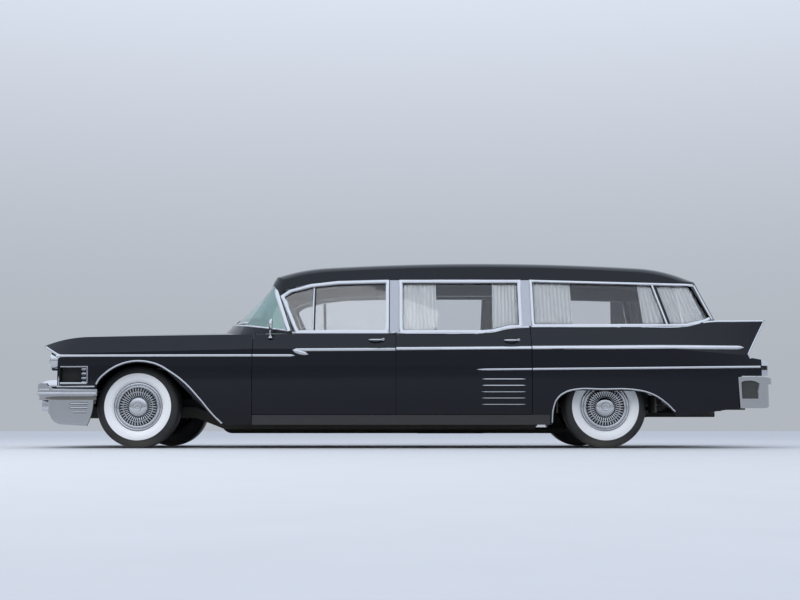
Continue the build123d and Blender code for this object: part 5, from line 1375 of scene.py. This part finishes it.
# %% Deck and controls
RAIL_YS = (-0.42, -0.14, 0.14, 0.42)
ROLLER_XS = (0.35, 0.95, 1.55, 2.15, 2.70)
ROLLER_YS = (-0.28, 0.28)
RAIL_Z = 0.616
bars("deck_rails", [[(0.02, y, RAIL_Z), (2.80, y, RAIL_Z)] for y in RAIL_YS], 0.007, slot="deck_wood")
bars("deck_rollers", [[(x, y - 0.05, RAIL_Z), (x, y + 0.05, RAIL_Z)] for x in ROLLER_XS for y in ROLLER_YS],
     0.013, RUBBER, slot="deck_wood")
WHEEL_PLACE = (-0.905, -0.400, 0.930)
COLUMN_TURN = math.radians(-118.0)
COLUMN_AXIS = (math.sin(COLUMN_TURN), 0.0, math.cos(COLUMN_TURN))
ACROSS = (0.0, 1.0, 0.0)
HORN_RADIUS = 0.142
HORN_WIRE = 0.004
HORN_BOSS = [(0.045, -0.012), (0.043, -0.024), (0.030, -0.032), (0.0, -0.034)]
DIALS = ((-0.50, 0.050), (-0.36, 0.062), (-0.22, 0.050))
DIAL_X = -1.128
DIAL_Z = 0.850
horn_wire = [(HORN_RADIUS + HORN_WIRE * math.cos(step * math.pi / 4),
              -0.012 + HORN_WIRE * math.sin(step * math.pi / 4)) for step in range(8)]
bm = bmesh.new()
lathe(bm, horn_wire, WHEEL_PLACE, COLUMN_AXIS, 72, closed=True, radial=ACROSS)
lathe(bm, HORN_BOSS, WHEEL_PLACE, COLUMN_AXIS, 48, radial=ACROSS)
make_piece("horn_ring", bm)
bm = bmesh.new()
for y, radius in DIALS:
    rim = [(radius, 0.0), (radius, 0.006), (radius - 0.004, 0.010), (radius - 0.008, 0.006), (0.0, 0.005)]
    lathe(bm, rim, (DIAL_X, y, DIAL_Z), BACKWARD, 48)
make_piece("dash_dials", bm, slot="dash_plastic")
print("deck and controls made")

# %% [markdown]
# ## Rear door
#
# The whole tail opens sideways. It has a bright frame round its window, a handle on its left-hand side, two
# bright strips across it and a blank plate in a bright frame under a small lamp.

# %% Rear door trim
REAR_SKIN = skin_of("loading_door", "loading_door_glass")
ON_DOOR = {"body": "loading_door"}
STRIP_HEIGHTS = (0.700, 0.640)
TAIL_HANDLE_Y = -0.55
TAIL_HANDLE_STEP = 0.011
TAIL_HANDLE_Z = 0.900
PLATE_Z = 0.815
PLATE_SIZE = (0.003, 0.305, 0.152)
PLATE_SPACING = 0.006
PLATE_LAMP_Z = 0.914
PLATE_LAMP_HALF = 0.05


def rear_line(points):
    """Points on the rear door below (y, z) places seen from behind."""
    return trace(REAR_SKIN, [(BEHIND, y, z) for y, z in points], FORWARD)


def rounded(half_width, low, high, corner, steps=6):
    """A rectangle with round corners as (y, z) points."""
    points = []
    for y, z, start in ((half_width - corner, high - corner, 0), (corner - half_width, high - corner, 1),
                        (corner - half_width, low + corner, 2), (half_width - corner, low + corner, 3)):
        for step in range(steps + 1):
            angle = (start + step / steps) * math.pi / 2
            points.append(Vector((y + corner * math.cos(angle), z + corner * math.sin(angle))))
    return even_line(points, 0.05, True)


window = rounded(0.560, 1.056, 1.396, 0.08)
bars("tail_window_frame", [rear_line(window + window[:1])], 0.010, **ON_DOOR)
strips = [rear_line([(y / 100, height) for y in range(-60, 61, 5)]) for height in STRIP_HEIGHTS]
bars("tail_strip", strips, 0.009, **ON_DOOR)
handle_line = rear_line([(TAIL_HANDLE_Y + step * TAIL_HANDLE_STEP, TAIL_HANDLE_Z)
                         for step in range(GRIP_STEPS + 1)])
grip = [point + Vector((grip_rise(step), 0.0, 0.0)) for step, point in enumerate(handle_line)]
bars("tail_handle", [grip], 0.0085, **ON_DOOR)
plate_x = PLATE_SPACING + max(point.x for point in rear_line([(0.0, 0.76), (0.15, 0.76), (0.0, 0.87)]))
bm = bmesh.new()
add_box(bm, (plate_x, 0.0, PLATE_Z), PLATE_SIZE)
corners = [edge for edge in bm.edges if abs(edge.verts[0].co.x - edge.verts[1].co.x) > 0.001]
round_edges(bm, corners, 0.012, 4)
make_piece("blank_plate", bm, PLATE, **ON_DOOR)
plate_edge = [(plate_x, p.x, p.y) for p in rounded(0.156, 0.735, 0.895, 0.016)]
bars("plate_frame", [plate_edge + plate_edge[:1]], 0.005, **ON_DOOR)
lamp_x = plate_x + 0.008
lamp_line = [(lamp_x, -PLATE_LAMP_HALF, PLATE_LAMP_Z), (lamp_x, PLATE_LAMP_HALF, PLATE_LAMP_Z)]
bars("plate_lamp", [lamp_line], 0.013, **ON_DOOR)
print("rear door trim made")

# %% [markdown]
# ## Floor, light and background
#
# A pale floor and soft light from all round, with two broad lamps for the light and shade on the car.

# %% Stage
floor_bm = bmesh.new()
bmesh.ops.create_grid(floor_bm, x_segments=1, y_segments=1, size=60.0)
floor_mesh = bpy.data.meshes.new("stage_floor")
floor_bm.to_mesh(floor_mesh)
floor_bm.free()
floor = bpy.data.objects.new("stage_floor", floor_mesh)
bpy.context.scene.collection.objects.link(floor)
floor_mesh.materials.append(surface("stage_floor", (0.42, 0.43, 0.45), (0.46, 0.47, 0.49), 0.85, scale=3.0))

world = bpy.data.worlds.new("studio")
bpy.context.scene.world = world
world.use_nodes = True
sky = world.node_tree
background = sky.nodes["Background"]
background.inputs["Strength"].default_value = 1.0
view = sky.nodes.new("ShaderNodeTexCoord")
heights = sky.nodes.new("ShaderNodeSeparateXYZ")
feed(sky, heights.inputs[0], view.outputs["Generated"])
climb = between(sky, heights.outputs["Z"], 0.0, 1.0, 0.02, 0.75, soft=True)
feed(sky, background.inputs["Color"], mix_color(sky, climb, (0.44, 0.47, 0.52, 1.0), (1.12, 1.23, 1.42, 1.0)))


def lamp(name, place, target, size, power):
    """A broad lamp that lights the car but isn't mirrored in its paint."""
    data = bpy.data.lights.new(name, "AREA")
    data.shape = "RECTANGLE"
    data.size, data.size_y = size
    data.energy = power
    light = bpy.data.objects.new(name, data)
    light.location = place
    light.rotation_euler = (Vector(target) - Vector(place)).to_track_quat("-Z", "Y").to_euler()
    light.visible_glossy = False
    bpy.context.scene.collection.objects.link(light)


lamp("key", (-4.0, -8.0, 7.5), (0.0, 0.0, 0.7), (9.0, 5.0), 560.0)
lamp("top", (0.0, 0.0, 9.0), (0.0, 0.0, 0.0), (14.0, 9.0), 200.0)
bpy.context.scene.view_settings.view_transform = "Standard"
print("lamps:", len(bpy.data.lights))
